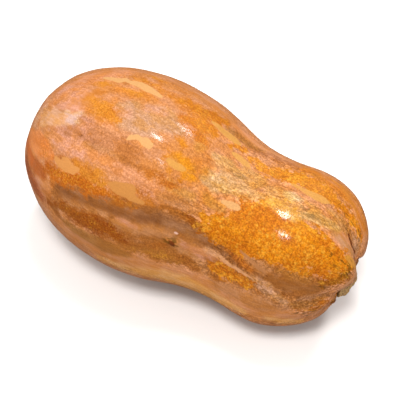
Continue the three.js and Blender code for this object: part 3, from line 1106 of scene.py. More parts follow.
FLAMES = crisp_strokes(
    Coat.FLAME,
    ("left cheek", Tint.CORAL, ((29, 133, 6), (33, 142, 11), (39, 150, 10), (46, 155, 6))),
    ("far shoulder", Tint.TANGERINE,
     ((90, 98, 4), (97, 103, 9), (104, 109, 12), (110, 114, 10), (115, 118, 5)),
     ((99, 81, 4), (105, 83, 7), (112, 85, 5))),
    ("about the far blotches", Tint.TANGERINE,
     ((127, 77, 3), (136, 78, 5), (147, 81, 6), (156, 86, 6), (162, 90, 4)),
     ((128, 90, 4), (138, 93, 6), (148, 97, 4)), ((150, 75, 3), (164, 82, 4))),
    ("crown", Tint.AMBER,
     ((182, 117, 7), (192, 120, 12), (202, 125, 15), (211, 130, 12), (216, 133, 6)),
     ((194, 131, 7), (201, 137, 10), (207, 144, 6))),
    ("far side of the crown", Tint.OCHRE,
     ((180, 100, 7), (192, 106, 13), (202, 112, 15), (214, 117, 14), (225, 121, 10)),
     ((168, 94, 3), (176, 98, 4)), ((186, 110, 5), (190, 114, 5))),
    ("flank", Tint.EMBER,
     ((46, 167, 4), (56, 174, 9), (65, 178, 12), (76, 181, 13), (88, 187, 12), (100, 191, 8),
      (110, 196, 6))),
    ("top of the flank", Tint.TANGERINE,
     ((78, 168, 6), (86, 173, 12), (96, 179, 11), (105, 186, 6)),
     ((71, 161, 2), (77, 163, 4), (82, 166, 3))),
    ("under the flank blotch", Tint.RUSSET,
     ((107, 191, 3), (113, 198, 6), (123, 203, 6), (134, 205, 4)),
     ((134, 188, 2), (140, 195, 4), (146, 200, 4), (153, 205, 3))),
    ("lower lobe", Tint.UMBER,
     ((48, 203, 3), (60, 206, 7), (70, 214, 10), (82, 220, 13), (96, 226, 14), (108, 230, 12),
      (116, 235, 9), (124, 239, 6))),
    ("middle of the bulb", Tint.ORANGE,
     ((163, 157, 3), (168, 154, 4), (176, 155, 4), (184, 160, 7), (191, 165, 6), (186, 170, 5),
      (182, 178, 5)), ((166, 165, 3), (170, 171, 3)), ((190, 174, 4), (196, 181, 4)),
     ((180, 139, 3), (185, 145, 4))),
    ("brown over the light fold", Tint.RUSSET,
     ((143, 169, 3), (152, 174, 6), (160, 179, 8), (168, 184, 8), (177, 188, 5), (184, 192, 3))),
    ("great patch of the neck", Tint.AMBER,
     ((202, 218, 7), (209, 227, 15), (218, 230, 20), (230, 234, 22), (243, 231, 31),
      (256, 226, 38), (268, 231, 38), (281, 239, 34), (294, 246, 30), (308, 249, 27),
      (322, 253, 23), (334, 259, 19), (344, 265, 13), (351, 269, 7)),
     ((238, 212, 8), (249, 205, 8), (261, 204, 8), (271, 209, 8))),
    ("top of the great patch", Tint.ORANGE,
     ((288, 226, 8), (301, 227, 10), (313, 233, 10), (325, 241, 8)),
     ((294, 246, 10), (304, 252, 15), (315, 256, 13), (326, 259, 7))),
    # painted sheen: paler, straw-coloured skin round the glints of the neck
    ("painted sheen round the glints", Tint.STRAW,
     ((269, 205, 10), (278, 208, 15), (286, 214, 15), (292, 220, 10)),
     ((283, 231, 6), (292, 239, 9), (304, 245, 10))),
    ("lower edge of the great patch", Tint.OCHRE,
     ((262, 250, 6), (276, 258, 9), (292, 264, 10), (308, 269, 10), (322, 273, 9), (336, 276, 7))),
    ("beside the great patch", Tint.UMBER,
     ((188, 220, 3), (197, 224, 6), (205, 231, 7), (212, 239, 5))),
    ("under the great patch", Tint.NUT,
     ((320, 281, 4), (331, 284, 7), (340, 281, 8), (346, 275, 9), (349, 270, 8), (345, 266, 4))),
    ("far lobe of the neck", Tint.ORANGE,
     ((262, 169, 7), (276, 173, 12), (288, 175, 14), (300, 179, 16), (312, 184, 18),
      (322, 190, 17), (330, 196, 13), (336, 201, 8)),
     ((246, 155, 3), (254, 159, 6), (263, 164, 4))),
    ("end of the far lobe", Tint.AMBER,
     ((332, 199, 7), (341, 206, 9), (350, 215, 8), (356, 225, 7), (361, 236, 5)),
     ((232, 146, 4), (240, 147, 6), (246, 151, 4))),
    ("under the lit fold", Tint.OCHRE,
     ((208, 262, 4), (213, 266, 8), (222, 271.5, 11.5), (234, 276.5, 11), (243, 280, 9),
      (251, 284, 6))),
    ("brown by the wart", Tint.COPPER,
     ((147, 253, 5), (157, 256, 9), (166, 257, 9), (177, 261, 5)),
     ((118, 246, 3), (128, 250, 4), (140, 252, 4))),
    ("near lobe of the neck", Tint.OCHRE,
     ((290, 311, 2), (302, 312, 3), (314, 310, 5), (325, 303, 5))),
)

BLOTCHES = crisp_strokes(
    Coat.PALE,
    ("cream blotches", Tint.CREAM,
     ((104, 77, 2.5), (112, 78, 4.5), (119, 80, 6), (126, 79, 5), (129, 82, 2)),
     ((132, 82, 4), (140, 84, 7), (148, 88, 7), (155, 92, 5.5), (161, 96, 3)),
     ((127, 139, 2), (131, 137, 4), (136, 137, 4), (140, 139, 3), (145, 142, 6.5), (149, 145, 5)),
     ((223, 202, 3), (229, 204, 5), (236, 207, 5), (238, 208, 3))),
    ("straw blotches", Tint.STRAW,
     ((168, 160, 3), (172, 163, 5), (178, 167, 5), (184, 169, 3)),
     ((213, 122, 2.5), (220, 127, 5), (228, 134, 7), (235, 139, 6.5), (240, 143, 3)),
     ((234, 153, 3), (240, 158, 5), (246, 163, 5), (250, 166, 2)),
     ((292, 184, 2), (300, 187, 3), (308, 192, 5), (316, 196, 6.5), (324, 200, 6), (328, 202, 3))),
    ("melon blotch", Tint.MELON,
     ((55, 158, 3), (59, 163, 5), (66, 167, 7), (72, 170, 6), (77, 170, 3)),
     ((62, 158, 2), (67, 160, 3.5), (71, 164, 2))),
    ("gold of the nose", Tint.GOLD, ((347, 257, 3), (352, 261, 5), (356, 266, 4))),
    ("biscuit blotch of the flank", Tint.BISCUIT,
     ((109, 184, 3), (115, 187, 7), (124, 190, 10), (131, 188, 6), (130, 196, 6), (137, 201, 4),
      (142, 203, 2.5))),
    ("white dot by the wart", Tint.BLUSH, ((175, 233.5, 1.5), (177, 234, 1.5))),
    ("light finger", Tint.TAN,
     ((240, 251, 1.4), (246, 257, 2), (252, 263, 3), (259, 269, 4), (265, 272, 2))),
    # painted highlight: a thin light line along the lit lower rim of the nose
    ("painted highlight on the nose's rim", Tint.LIT_EDGE_HIGHLIGHT,
     ((356, 270, 1.6), (356, 276, 2), (352, 281, 2.2), (346, 286, 2.2), (340, 290.5, 2),
      (335, 294, 1.6))),
    # painted highlight: the crisp light line along the lit edge of the fold
    ("painted highlight of the ridge", Tint.LIT_EDGE_HIGHLIGHT,
     ((217, 254.5, 1.6), (223, 259.5, 1.9), (229, 264.5, 2), (238, 269.5, 1.9), (247, 275.5, 1.8),
      (253, 279.5, 1.6))),
    ("wart and dark dots", Tint.SOOT,
     ((169, 241, 2), (172, 243, 3.5), (173, 245, 2.5)), ((80, 135, 1), (81, 135, 1.2)),
     ((266, 276, 0.9), (267, 277, 0.9)), ((286, 284, 1), (287, 284, 1)),
     ((124, 270, 0.6), (131, 272, 0.9), (140, 276, 0.5)),
     ((350, 234, 1.6), (351, 240, 2.2), (353, 247, 2.2), (355, 252, 2), (355.5, 259, 1.8))),
)

GRAIN = soft_strokes(
    ("far bands", Coat.SMOOTH, 1.0, 4,
     ((70, 84, 6), (110, 71, 6), (160, 75, 7), (205, 97, 7), (250, 138, 6), (290, 160, 7),
      (322, 174, 8), (344, 190, 9), (358, 210, 8), (365, 232, 8)),
     ((338, 235, 8), (348, 244, 10), (355, 255, 8))),
    ("left edge", Coat.SMOOTH, 0.8, 5,
     ((30, 134, 10), (34, 150, 16), (36, 172, 12), (46, 194, 8), (56, 214, 6)),
     ((46, 120, 14), (66, 114, 16), (84, 98, 12), (104, 86, 8))),
    ("lower side", Coat.SMOOTH, 0.9, 4,
     ((60, 226, 8), (95, 245, 14), (130, 262, 16), (170, 275, 18), (210, 290, 22), (250, 306, 22),
      (290, 318, 14)), ((258, 272, 6), (282, 283, 12), (312, 290, 12))),
    ("furrow", Coat.SMOOTH, 0.8, 3,
     ((60, 192, 6), (100, 204, 8), (140, 218, 10), (170, 227, 10), (204, 243, 9)),
     ((120, 224, 8), (150, 232, 8), (190, 250, 12), (212, 257, 8))),
    ("streaky zones", Coat.STREAKY, 1.0, 5,
     ((222, 160, 12), (250, 182, 14), (280, 196, 16), (305, 208, 18), (330, 222, 18),
      (346, 236, 12)), ((300, 182, 10), (325, 198, 12), (345, 216, 12), (358, 236, 10)),
     ((180, 100, 10), (205, 118, 14), (225, 134, 14), (250, 152, 12), (275, 170, 10)),
     ((60, 200, 8), (90, 209, 8), (130, 220, 8), (170, 214, 14), (200, 210, 14))),
    ("flecks of the neck", Coat.OLIVE, 0.8, 3,
     ((332, 256, 7), (341, 262, 11), (348, 268, 12)),
     ((344, 208, 8), (352, 222, 9), (360, 236, 6)), ((306, 204, 6), (312, 212, 8)),
     ((236, 172, 4), (243, 180, 5))),
    ("flecks of the near lobe", Coat.OLIVE, 0.9, 2,
     ((298, 314, 5), (306, 316, 6), (318, 309, 4)), ((316, 286, 3), (326, 290, 3)),
     ((164, 240, 3), (172, 242, 7), (177, 245, 4))),
    ("glints of the crown", Coat.SHINE, 0.9, 1.4,
     ((151, 133, 1), (158, 137, 2.5), (168, 142, 1.5)),
     ((158, 160, 1.5), (161, 165, 3), (163, 170, 1.5))),
    ("gloss of the crown", Coat.SHINE, 0.4, 5,
     ((180, 125, 2), (187, 131, 4), (192, 139, 2)), ((215, 153, 3), (222, 160, 4))),
    ("glints of the neck", Coat.SHINE, 0.9, 4.0,
     ((290, 193, 3), (297, 197, 5)), ((278, 208, 5), (286, 213, 8), (293, 219, 5)),
     ((278, 230, 3), (286, 236, 4), (293, 241, 2))),
)

STROKES = GROUNDS + FLAMES + BLOTCHES + GRAIN
PAINT_SHARE = 0.45


def paint(tint: Tint) -> np.ndarray:
    """The share of light that a paint gives back, a channel."""
    return np.array(linear(*tint.value)) * PAINT_SHARE


@dataclass
class Paintbox:
    """Lays strokes on a skin and keeps what they leave at each of its vertices."""

    points: np.ndarray
    flow: np.ndarray
    skin: BVHTree
    view: View
    wander: float = 2.2
    drawn_out: float = 0.5
    wobbles: tuple[tuple[float, float, float], ...] = (
        (1.0, 9.0, 1.7), (0.8, 4.2, 6.3), (0.6, 2.3, 4.9))
    ground_reach: float = 0.6
    ground_wobble: tuple[float, float] = (0.5, 0.12)
    steady_width: float = 4.0
    flame_blend: float = 2.0

    def __post_init__(self) -> None:
        """Starts with an even ground and no patches."""
        count = len(self.points)
        drawn_out = self.flow * (self.drawn_out, 1.0, 1.0)
        self.wobble = self.wander * sum(
            share * noise_field(drawn_out, size, seed) for share, size, seed in self.wobbles)
        self.ground, self.flame, self.pale = (
            np.tile(paint(tint), (count, 1)) for tint in (Tint.APRICOT, Tint.ORANGE, Tint.CREAM))
        self.flame_inside = np.full(count, FAR_OUTSIDE)
        self.pale_inside = np.full(count, FAR_OUTSIDE)
        self.amounts = {coat: np.zeros(count) for coat in
                        (Coat.SMOOTH, Coat.STREAKY, Coat.OLIVE, Coat.SHINE)}

    def cast(self, pixel: Pixel) -> np.ndarray:
        """The place on the skin seen at a pixel, or the nearest to it, in millimetres."""
        eye, towards = self.view.eye(), self.view.towards(pixel)
        hit, _, _, _ = self.skin.ray_cast(eye, towards)
        if hit is None:
            hit, _, _, _ = self.skin.find_nearest(eye + towards * self.view.distance * MM)
        return np.array(hit) / MM

    def trace(self, path: Path) -> tuple[np.ndarray, np.ndarray]:
        """A path's places on the skin and its widths there, in millimetres."""
        marks = np.array(path)
        return np.array([self.cast((x, y)) for x, y in marks[:, :2]]), marks[:, 2]

    def inside(self, path: np.ndarray, widths: np.ndarray) -> np.ndarray:
        """How far each vertex lies inside a stroke, in millimetres; negative outside."""
        result = np.full(len(self.points), FAR_OUTSIDE)
        for distance, width in beside(self.points, path, widths):
            result = np.maximum(result, width / 2 - distance)
        return result

    def lay(self, stroke: Stroke, path: np.ndarray, widths: np.ndarray) -> None:
        """Leaves a paint along a path of places on the skin."""
        depth = self.inside(path, widths)
        if stroke.coat in self.amounts:
            share = stroke.strength * smoothstep(depth, -stroke.soft, stroke.soft)
            self.amounts[stroke.coat] = np.maximum(self.amounts[stroke.coat], share)
            return
        tint = paint(stroke.tint)
        if stroke.coat is Coat.GROUND:
            steady = min(1.0, float(widths.mean()) / self.steady_width)
            least, more = self.ground_wobble
            depth = depth + steady * self.wobble * (least + more * stroke.soft)
            reach = self.ground_reach * stroke.soft
            share = stroke.strength * smoothstep(depth, -reach, reach)
            self.ground = lerp(self.ground, tint, share[:, None])
        elif stroke.coat is Coat.FLAME:
            share = smoothstep(depth - self.flame_inside, -self.flame_blend, self.flame_blend)
            self.flame = lerp(self.flame, tint, share[:, None])
            self.flame_inside = np.maximum(self.flame_inside, depth)
        else:
            share = (depth > self.pale_inside).astype(float)
            self.pale = lerp(self.pale, tint, share[:, None])
            self.pale_inside = np.maximum(self.pale_inside, depth)

    def paint(self, stroke: Stroke) -> None:
        """Casts strokes from the camera onto the skin and leaves their paint there."""
        log.debug("painting %s", stroke.name)
        for path in stroke.paths:
            self.lay(stroke, *self.trace(path))


def keep(mesh: bpy.types.Mesh, name: str, values: np.ndarray, colour: bool = False) -> None:
    """Stores values as a point attribute of a mesh.

    Args:
        mesh: the mesh, with as many vertices as there are values.
        name: the attribute's name.
        values: one number, vector or colour a vertex.
        colour: whether three numbers stand for a colour.
    """
    if values.ndim == 1:
        layer = mesh.attributes.new(name, "FLOAT", "POINT")
        layer.data.foreach_set("value", values.astype(np.float32))
    elif colour:
        layer = mesh.attributes.new(name, "FLOAT_COLOR", "POINT")
        colours = np.hstack([values, np.ones((len(values), 1))])
        layer.data.foreach_set("color", colours.astype(np.float32).ravel())
    else:
        layer = mesh.attributes.new(name, "FLOAT_VECTOR", "POINT")
        layer.data.foreach_set("vector", values.astype(np.float32).ravel())


# ------------------------------------------------------------------ relief

@dataclass(frozen=True)
class Fold:
    """A small fold of the skin: where the camera sees it, its half-width and its depth.

    Widths and the depth are in millimetres; a negative depth raises the skin.
    """

    name: str
    depth: float
    path: Path


FOLDS: tuple[Fold, ...] = (
    Fold("trough of the bulb", 0.7,
         ((60, 134, 5), (92, 146, 6), (120, 156, 6), (150, 170, 6), (172, 184, 5))),
    Fold("lit fold of the bulb", -0.5,
         ((56, 146, 4), (90, 156, 4), (120, 168, 4), (150, 184, 4), (176, 199, 4))),
    Fold("crease of the far waist", 0.8,
         ((224, 128, 3), (240, 138, 4), (256, 147, 4), (268, 154, 3))),
    Fold("lower furrow", 0.7,
         ((70, 196, 6), (112, 209, 8), (150, 221, 8), (190, 236, 7), (214, 248, 5), (236, 260, 3),
          (262, 279, 3), (286, 296, 3))),
    Fold("fold under the lower furrow", -0.7,
         ((104, 217, 3), (140, 228, 4), (172, 238, 4), (205, 252, 4), (235, 269, 3), (260, 283, 3),
          (286, 301, 2.5))),
    Fold("forked crease", 0.6,
         ((240, 252, 1.2), (247, 259, 1.6), (254, 266, 1.6), (261, 274, 1.4))),
    Fold("crack", 1.1,
         ((348, 230, 0.8), (350.5, 237, 1.2), (352.5, 245, 1.3), (355, 251, 1.3),
          (355.5, 259, 1.2))),
    Fold("wart", -1.3, ((169, 242, 1.6), (173, 244, 1.6))),
    Fold("dent by the wart", 0.5, ((166, 238, 1.6), (178, 239, 1.6))),
)


# ------------------------------------------------------------------ finishes

@dataclass(frozen=True)
class SkinFinish:
    """The rind: waxy, semi-gloss, mottled and grained, with painted glints as pale specks in its
    pores.

    A pair of tones multiplies a colour: the dark one where a noise is low and the light one
    where it is high. Sizes of the grain are in metres.
    """

    roughness: float = 0.5
    specular: float = 0.1
    wax_roughness: float = 0.3
    glint_roughness: float = 0.16
    grain_cover: float = 0.62
    fine: Grains = Grains(None, 0.0012, 0.6)
    coarse: Grains = Grains(0.8, 0.0022, 0.5)
    streaky: Grains = Grains(0.33, 0.0011, 0.6)
    drawn_out: float = 0.45
    uneven: Ramp = Ramp(0.4, 0.6)
    drift: Swells = Swells(0.006, 4.0, 0.65)
    drift_tones: Tones = ((0.98, 0.9, 0.6), (1.03, 1.08, 1.2))
    clouds: Swells = Swells(0.009, 4.0, 0.65)
    cloud_tones: Tones = ((0.93, 0.85, 0.66), (1.07, 1.12, 1.2))
    ground_net: Tones = ((0.74, 0.66, 0.5), (1.22, 1.28, 1.42))
    patch_net: Tones = ((0.86, 0.78, 0.5), (1.12, 1.2, 1.3))
    strand_tones: Tones = ((0.87, 0.83, 0.76), (1.07, 1.07, 1.07))
    strand_width: float = 0.0013
    strand_length: float = 9.0
    flame_wander: float = 15.0
    flame_streaks: float = 8.0
    flame_softness: Ramp = Ramp(start=3.2, end=1.3)
    net_bite: float = 3.0
    net_relief: float = 0.07
    pale_wander: float = 2.6
    pale_streaks: float = 1.3
    pale_softness: float = 0.45
    pale_cover: float = 0.95
    groups_of_dots: Swells = Swells(0.011, 3.0, 0.6)
    dots_shown: Ramp = Ramp(0.42, 0.6, 0.15, 0.95)
    dots_towards_neck: Ramp = Ramp(start=0.55)
    pores: Swells = Swells(0.0011, 2.0, 0.7)
    pore_shade: Ramp = Ramp(0.36, 0.64, 0.72, 1.22)
    pores_on_smooth: Ramp = Ramp(start=0.35)
    pores_towards_neck: Ramp = Ramp(start=0.65)
    pores_off_pale: float = 0.7
    # how much of the painted glints shows at the pores' peaks
    painted_glints: Ramp = Ramp(0.53, 0.66, 0.0, 0.1)
    flecks: Swells = Swells(0.0028)
    fleck_from: float = 0.56
    fleck_cover: float = 0.8
    fleck_shade: float = 0.5
    dapple: Swells = Swells(0.0018, 2.0, 0.6)
    dapple_shade: Ramp = Ramp(0.44, 0.56, 0.1, 1.0)
    ripple: Swells = Swells(0.005, 3.0, 0.55)
    ripple_relief: float = 0.3

    def build(self) -> bpy.types.Material:
        """Makes the material."""
        material, graph, shader = new_material("mottled rind")
        where = graph.place()
        flow = graph.attribute("flow", "Vector")
        coarse = graph.attribute("coarse")
        showing = graph.attribute("speckled")
        shine = graph.attribute("shine")
        dots, net = self.grain(graph, where, flow)
        broken = graph.math("MULTIPLY_ADD", net, -self.net_bite, 1.0)
        flame = graph.group(
            "fray", Where=where, Flow=flow, Wander=self.flame_wander,
            Streaks=self.flame_streaks, Softness=graph.rise(coarse, *self.flame_softness),
            Inside=graph.math("ADD", graph.attribute("flame_inside"), broken))["Mask"]
        pale = graph.group(
            "fray", Where=where, Flow=flow, Wander=self.pale_wander,
            Streaks=self.pale_streaks, Softness=self.pale_softness,
            Inside=graph.attribute("pale_inside"))["Mask"]
        drawn_out = graph.draw_out(flow, self.drawn_out)
        ground = graph.attribute("ground", "Color")
        ground = graph.tone(graph.rise(graph.noise(drawn_out, self.drift), *self.uneven),
                            ground, *self.drift_tones)
        ground = graph.mix(showing, ground, graph.tone(net, ground, *self.ground_net))
        strands = graph.group("fibres", Flow=flow, Width=self.strand_width,
                              Length=self.strand_length)["Fibres"]
        ground = graph.tone(strands, ground, *self.strand_tones)
        patch = graph.attribute("patch", "Color")
        patch = graph.tone(graph.rise(graph.noise(drawn_out, self.clouds), *self.uneven),
                           patch, *self.cloud_tones)
        patch = graph.mix(showing, patch, graph.tone(net, patch, *self.patch_net))
        dotted = graph.product(
            dots, showing, graph.rise(coarse, *self.dots_towards_neck),
            graph.rise(graph.noise(where, self.groups_of_dots), *self.dots_shown))
        patch = graph.mix(dotted, patch, paint(Tint.DOT))
        skin = graph.mix(flame, ground, patch)
        skin = graph.mix(graph.math("MULTIPLY", pale, self.pale_cover), skin,
                         graph.attribute("pale", "Color"))
        pores = graph.noise(where, self.pores)
        pored = graph.product(graph.rise(showing, *self.pores_on_smooth),
                              graph.rise(coarse, *self.pores_towards_neck),
                              graph.math("MULTIPLY_ADD", pale, -self.pores_off_pale, 1.0))
        shade = graph.mix(pored, (1.0, 1.0, 1.0), graph.rise(pores, *self.pore_shade))
        skin = graph.mix(1.0, skin, shade, "MULTIPLY")
        # painted glints: a pale yellow tint at the peaks of the pores, standing in for tiny
        # highlights
        skin = graph.mix(graph.product(pored, graph.rise(pores, *self.painted_glints)), skin,
                         paint(Tint.GLINT_SPECK))
        flecks = graph.math("GREATER_THAN", graph.noise(drawn_out, self.flecks),
                            self.fleck_from)
        flecks = graph.product(flecks, graph.attribute("olive"))
        skin = graph.mix(graph.math("MULTIPLY", flecks, self.fleck_cover), skin,
                         paint(Tint.OLIVE) * self.fleck_shade)
        dapple = graph.rise(graph.noise(where, self.dapple), *self.dapple_shade)
        height = graph.product(net, graph.math("MULTIPLY", showing, self.net_relief))
        height = graph.math("MULTIPLY_ADD", graph.noise(where, self.ripple),
                            self.ripple_relief, height)
        graph.fill(shader, {
            "Base Color": skin,
            "Roughness": graph.blend(shine, self.roughness, self.wax_roughness),
            "Specular IOR Level": self.specular,
            "Coat Weight": graph.product(shine, dapple),
            "Coat Roughness": self.glint_roughness,
            "Normal": graph.bump(height),
        })
        return material

    def grain(self, graph: Graph, where: bpy.types.NodeSocket, flow: bpy.types.NodeSocket
              ) -> list[bpy.types.NodeSocket]:
        """The skin's grain: fine on the bulb, coarse on the neck, streaky in furrows.

        Args:
            graph: the material's graph.
            where: Object coordinates.
            flow: coordinates that run along the fruit.

        Returns:
            The loose dots and the fine net.
        """
        fine, coarse, streaky = (
            graph.group("specks", Size=grains.size, Cover=self.grain_cover,
                        Warp=grains.warp, Where=graph.draw_out(flow, grains.drawn_out)
                        if grains.drawn_out else where)
            for grains in (self.fine, self.coarse, self.streaky))
        return [graph.blend(graph.attribute("streaky"),
                            graph.blend(graph.attribute("coarse"), fine[name],
                                        coarse[name]), streaky[name])
                for name in ("Dots", "Net")]


@dataclass(frozen=True)
class StubFinish:
    """The stem stub: dry, greenish-brown cork with a torn, straw-coloured cut."""

    roughness: float = 0.85
    specular: float = 0.2
    bark: Rgb = linear(112, 78, 32)
    bark_dark: Rgb = linear(58, 33, 12)
    bark_light: Rgb = linear(156, 116, 60)
    cut: Rgb = linear(176, 140, 88)
    cut_dark: Rgb = linear(98, 66, 32)
    fibre_width: float = 0.0009
    fibre_length: float = 8.0
    fibre_cover: float = 0.6
    patches: Swells = Swells(0.0035, 4.0, 0.6)
    patch_shade: Ramp = Ramp(0.35, 0.65)
    crumbs: Swells = Swells(0.0012, 4.0, 0.7)
    crumb_shade: Ramp = Ramp(0.35, 0.6)
    relief: float = 0.35

    def build(self) -> bpy.types.Material:
        """Makes the material."""
        material, graph, shader = new_material("stem cork")
        where = graph.place()
        on_cut = graph.attribute("cut")
        fibres = graph.group("fibres", Flow=graph.attribute("flow", "Vector"),
                             Width=self.fibre_width, Length=self.fibre_length)["Fibres"]
        patches = graph.rise(graph.noise(where, self.patches), *self.patch_shade)
        bark = graph.mix(patches, self.bark_dark, self.bark)
        bark = graph.mix(graph.math("MULTIPLY", fibres, self.fibre_cover), bark,
                         self.bark_light)
        crumbs = graph.noise(where, self.crumbs)
        cut = graph.mix(graph.rise(crumbs, *self.crumb_shade), self.cut_dark, self.cut)
        height = graph.math("MULTIPLY", graph.blend(on_cut, fibres, crumbs), self.relief)
        graph.fill(shader, {"Base Color": graph.mix(on_cut, bark, cut),
                            "Roughness": self.roughness, "Specular IOR Level": self.specular,
                            "Normal": graph.bump(height)})
        return material


# ------------------------------------------------------------------ the fruit

@dataclass
class Fruit:
    """The skin: the fruit's form on a fine mesh, with its relief and markings."""

    view: View
    form: FruitForm = field(default_factory=FruitForm)
    ring_step: float = 1.25
    rim_ring_step: float = 0.9
    segments: int = 325
    flow_radius: float = 50.0
    set_in: float = 0.45
    swell: float = 0.3
    swell_size: float = 22.0
    ripple: float = 0.1
    ripple_size: float = 7.0
    calm_below: tuple[float, float] = (0.2, 6.0)
    underside: tuple[float, float] = (0.72, 0.92)
    underside_cover: float = 0.8
    coarse_from: tuple[float, float] = (-20.0, 50.0)
    bulb_grain: float = 0.6
    patch_edge: tuple[float, float] = (-1.0, 3.0)

    def rings(self) -> np.ndarray:
        """Arc lengths of the mesh's rings, closer at the rim and in the cavity."""
        form = self.form
        body = np.arange(0.0, form.neck_arc, self.ring_step)
        ends = np.arange(form.neck_arc, form.end_arc, self.rim_ring_step)
        return np.concatenate([body, ends, [form.end_arc]])

    def build(self) -> None:
        """Makes the skin in the frame of the part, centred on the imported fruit."""
        skin, self.arc, self.phase = turn("skin", self.form.outline, self.rings(),
                                          self.segments)
        points = self.form.surface(self.arc, self.phase)
        low, high = (np.array(corner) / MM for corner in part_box("fruit"))
        self.offset = (low + high) / 2 - (points.min(0) + points.max(0)) / 2
        self.offset[2] = 0.0
        points = points + self.offset
        points[:, 2] = np.maximum(points[:, 2], 0.0)
        place(skin, points)
        self.skin, self.points = skin, points
        self.box = Paintbox(points, self.flow(), self.outside(), self.view)
        points = np.clip(points - self.relief()[:, None] * self.normals(), low, high)
        place(skin, points)
        log.info("skin: %d vertices, moved by %s mm", len(points), self.offset.round(3))
        self.paint()
        skin.data.materials.append(SkinFinish().build())
        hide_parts("fruit")
        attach(skin, "root")

    def flow(self) -> np.ndarray:
        """Coordinates that run along the fruit and round it, in millimetres."""
        turn_by = self.phase / LOBES * math.tau
        return np.stack([self.arc, self.flow_radius * np.cos(turn_by),
                         self.flow_radius * np.sin(turn_by)], axis=1)

    def outside(self) -> BVHTree:
        """The skin's surface, for rays that look for it."""
        mesh = self.skin.data
        return BVHTree.FromPolygons([vert.co for vert in mesh.vertices],
                                    [face.vertices for face in mesh.polygons])

    def normals(self) -> np.ndarray:
        """The outward normal at each vertex."""
        mesh = self.skin.data
        flat = np.empty(len(mesh.vertices) * 3, np.float32)
        mesh.vertex_normals.foreach_get("vector", flat)
        return flat.reshape(-1, 3)

    def facing(self) -> np.ndarray:
        """How squarely the skin faces the camera at each vertex; negative if away."""
        towards = np.array(self.view.eye()) / MM - self.points
        towards /= np.linalg.norm(towards, axis=1)[:, None]
        return np.sum(self.normals() * towards, axis=1)

    def relief(self) -> np.ndarray:
        """How far the skin lies inside the smooth form at each vertex."""
        points = self.points
        depth = self.set_in - self.swell * noise_field(points, self.swell_size, seed=3.1)
        depth -= self.ripple * noise_field(points, self.ripple_size, seed=8.4)
        for fold in FOLDS:
            log.debug("folding %s", fold.name)
            profile = np.zeros(len(points))
            for distance, width in beside(points, *self.box.trace(fold.path)):
                profile = np.maximum(profile, np.exp(-(distance / width) ** 2))
            depth += fold.depth * profile
        return depth * smoothstep(points[:, 2], *self.calm_below)

    def paint(self) -> None:
        """Lays the markings and keeps them as attributes."""
        mesh = self.skin.data
        box = self.box
        FarSide().paint(self)
        for stroke in STROKES:
            box.paint(stroke)
        under = smoothstep(-self.normals()[:, 2], *self.underside)
        box.ground = lerp(box.ground, paint(Tint.SIENNA),
                          self.underside_cover * under[:, None])
        plain = np.maximum(box.amounts[Coat.SMOOTH], under)
        coarse = smoothstep(self.points[:, 0], *self.coarse_from)
        in_patch = smoothstep(box.flame_inside, *self.patch_edge)
        on_ground = self.bulb_grain + (1 - self.bulb_grain) * coarse
        keep(mesh, "flow", self.flow() * MM)
        for name, colours in (("ground", box.ground), ("patch", box.flame),
                              ("pale", box.pale)):
            keep(mesh, name, colours, colour=True)
        for name, values in (("flame_inside", box.flame_inside),
                             ("pale_inside", box.pale_inside),
                             ("coarse", coarse),
                             ("speckled", (1 - plain) * np.maximum(on_ground, in_patch)),
                             ("streaky", box.amounts[Coat.STREAKY]),
                             ("olive", box.amounts[Coat.OLIVE]),
                             ("shine", box.amounts[Coat.SHINE])):
            keep(mesh, name, values)


@dataclass(frozen=True)
class Spread:
    """Strokes of one kind strewn over the skin, longest along the fruit.

    Lengths and widths are drawn between two sizes in millimetres.
    """

    coat: Coat
    tints: tuple[Tint, ...]
    count: int
    length: tuple[float, float]
    width: tuple[float, float]
    strength: float = 1.0
    soft: float = 4.0


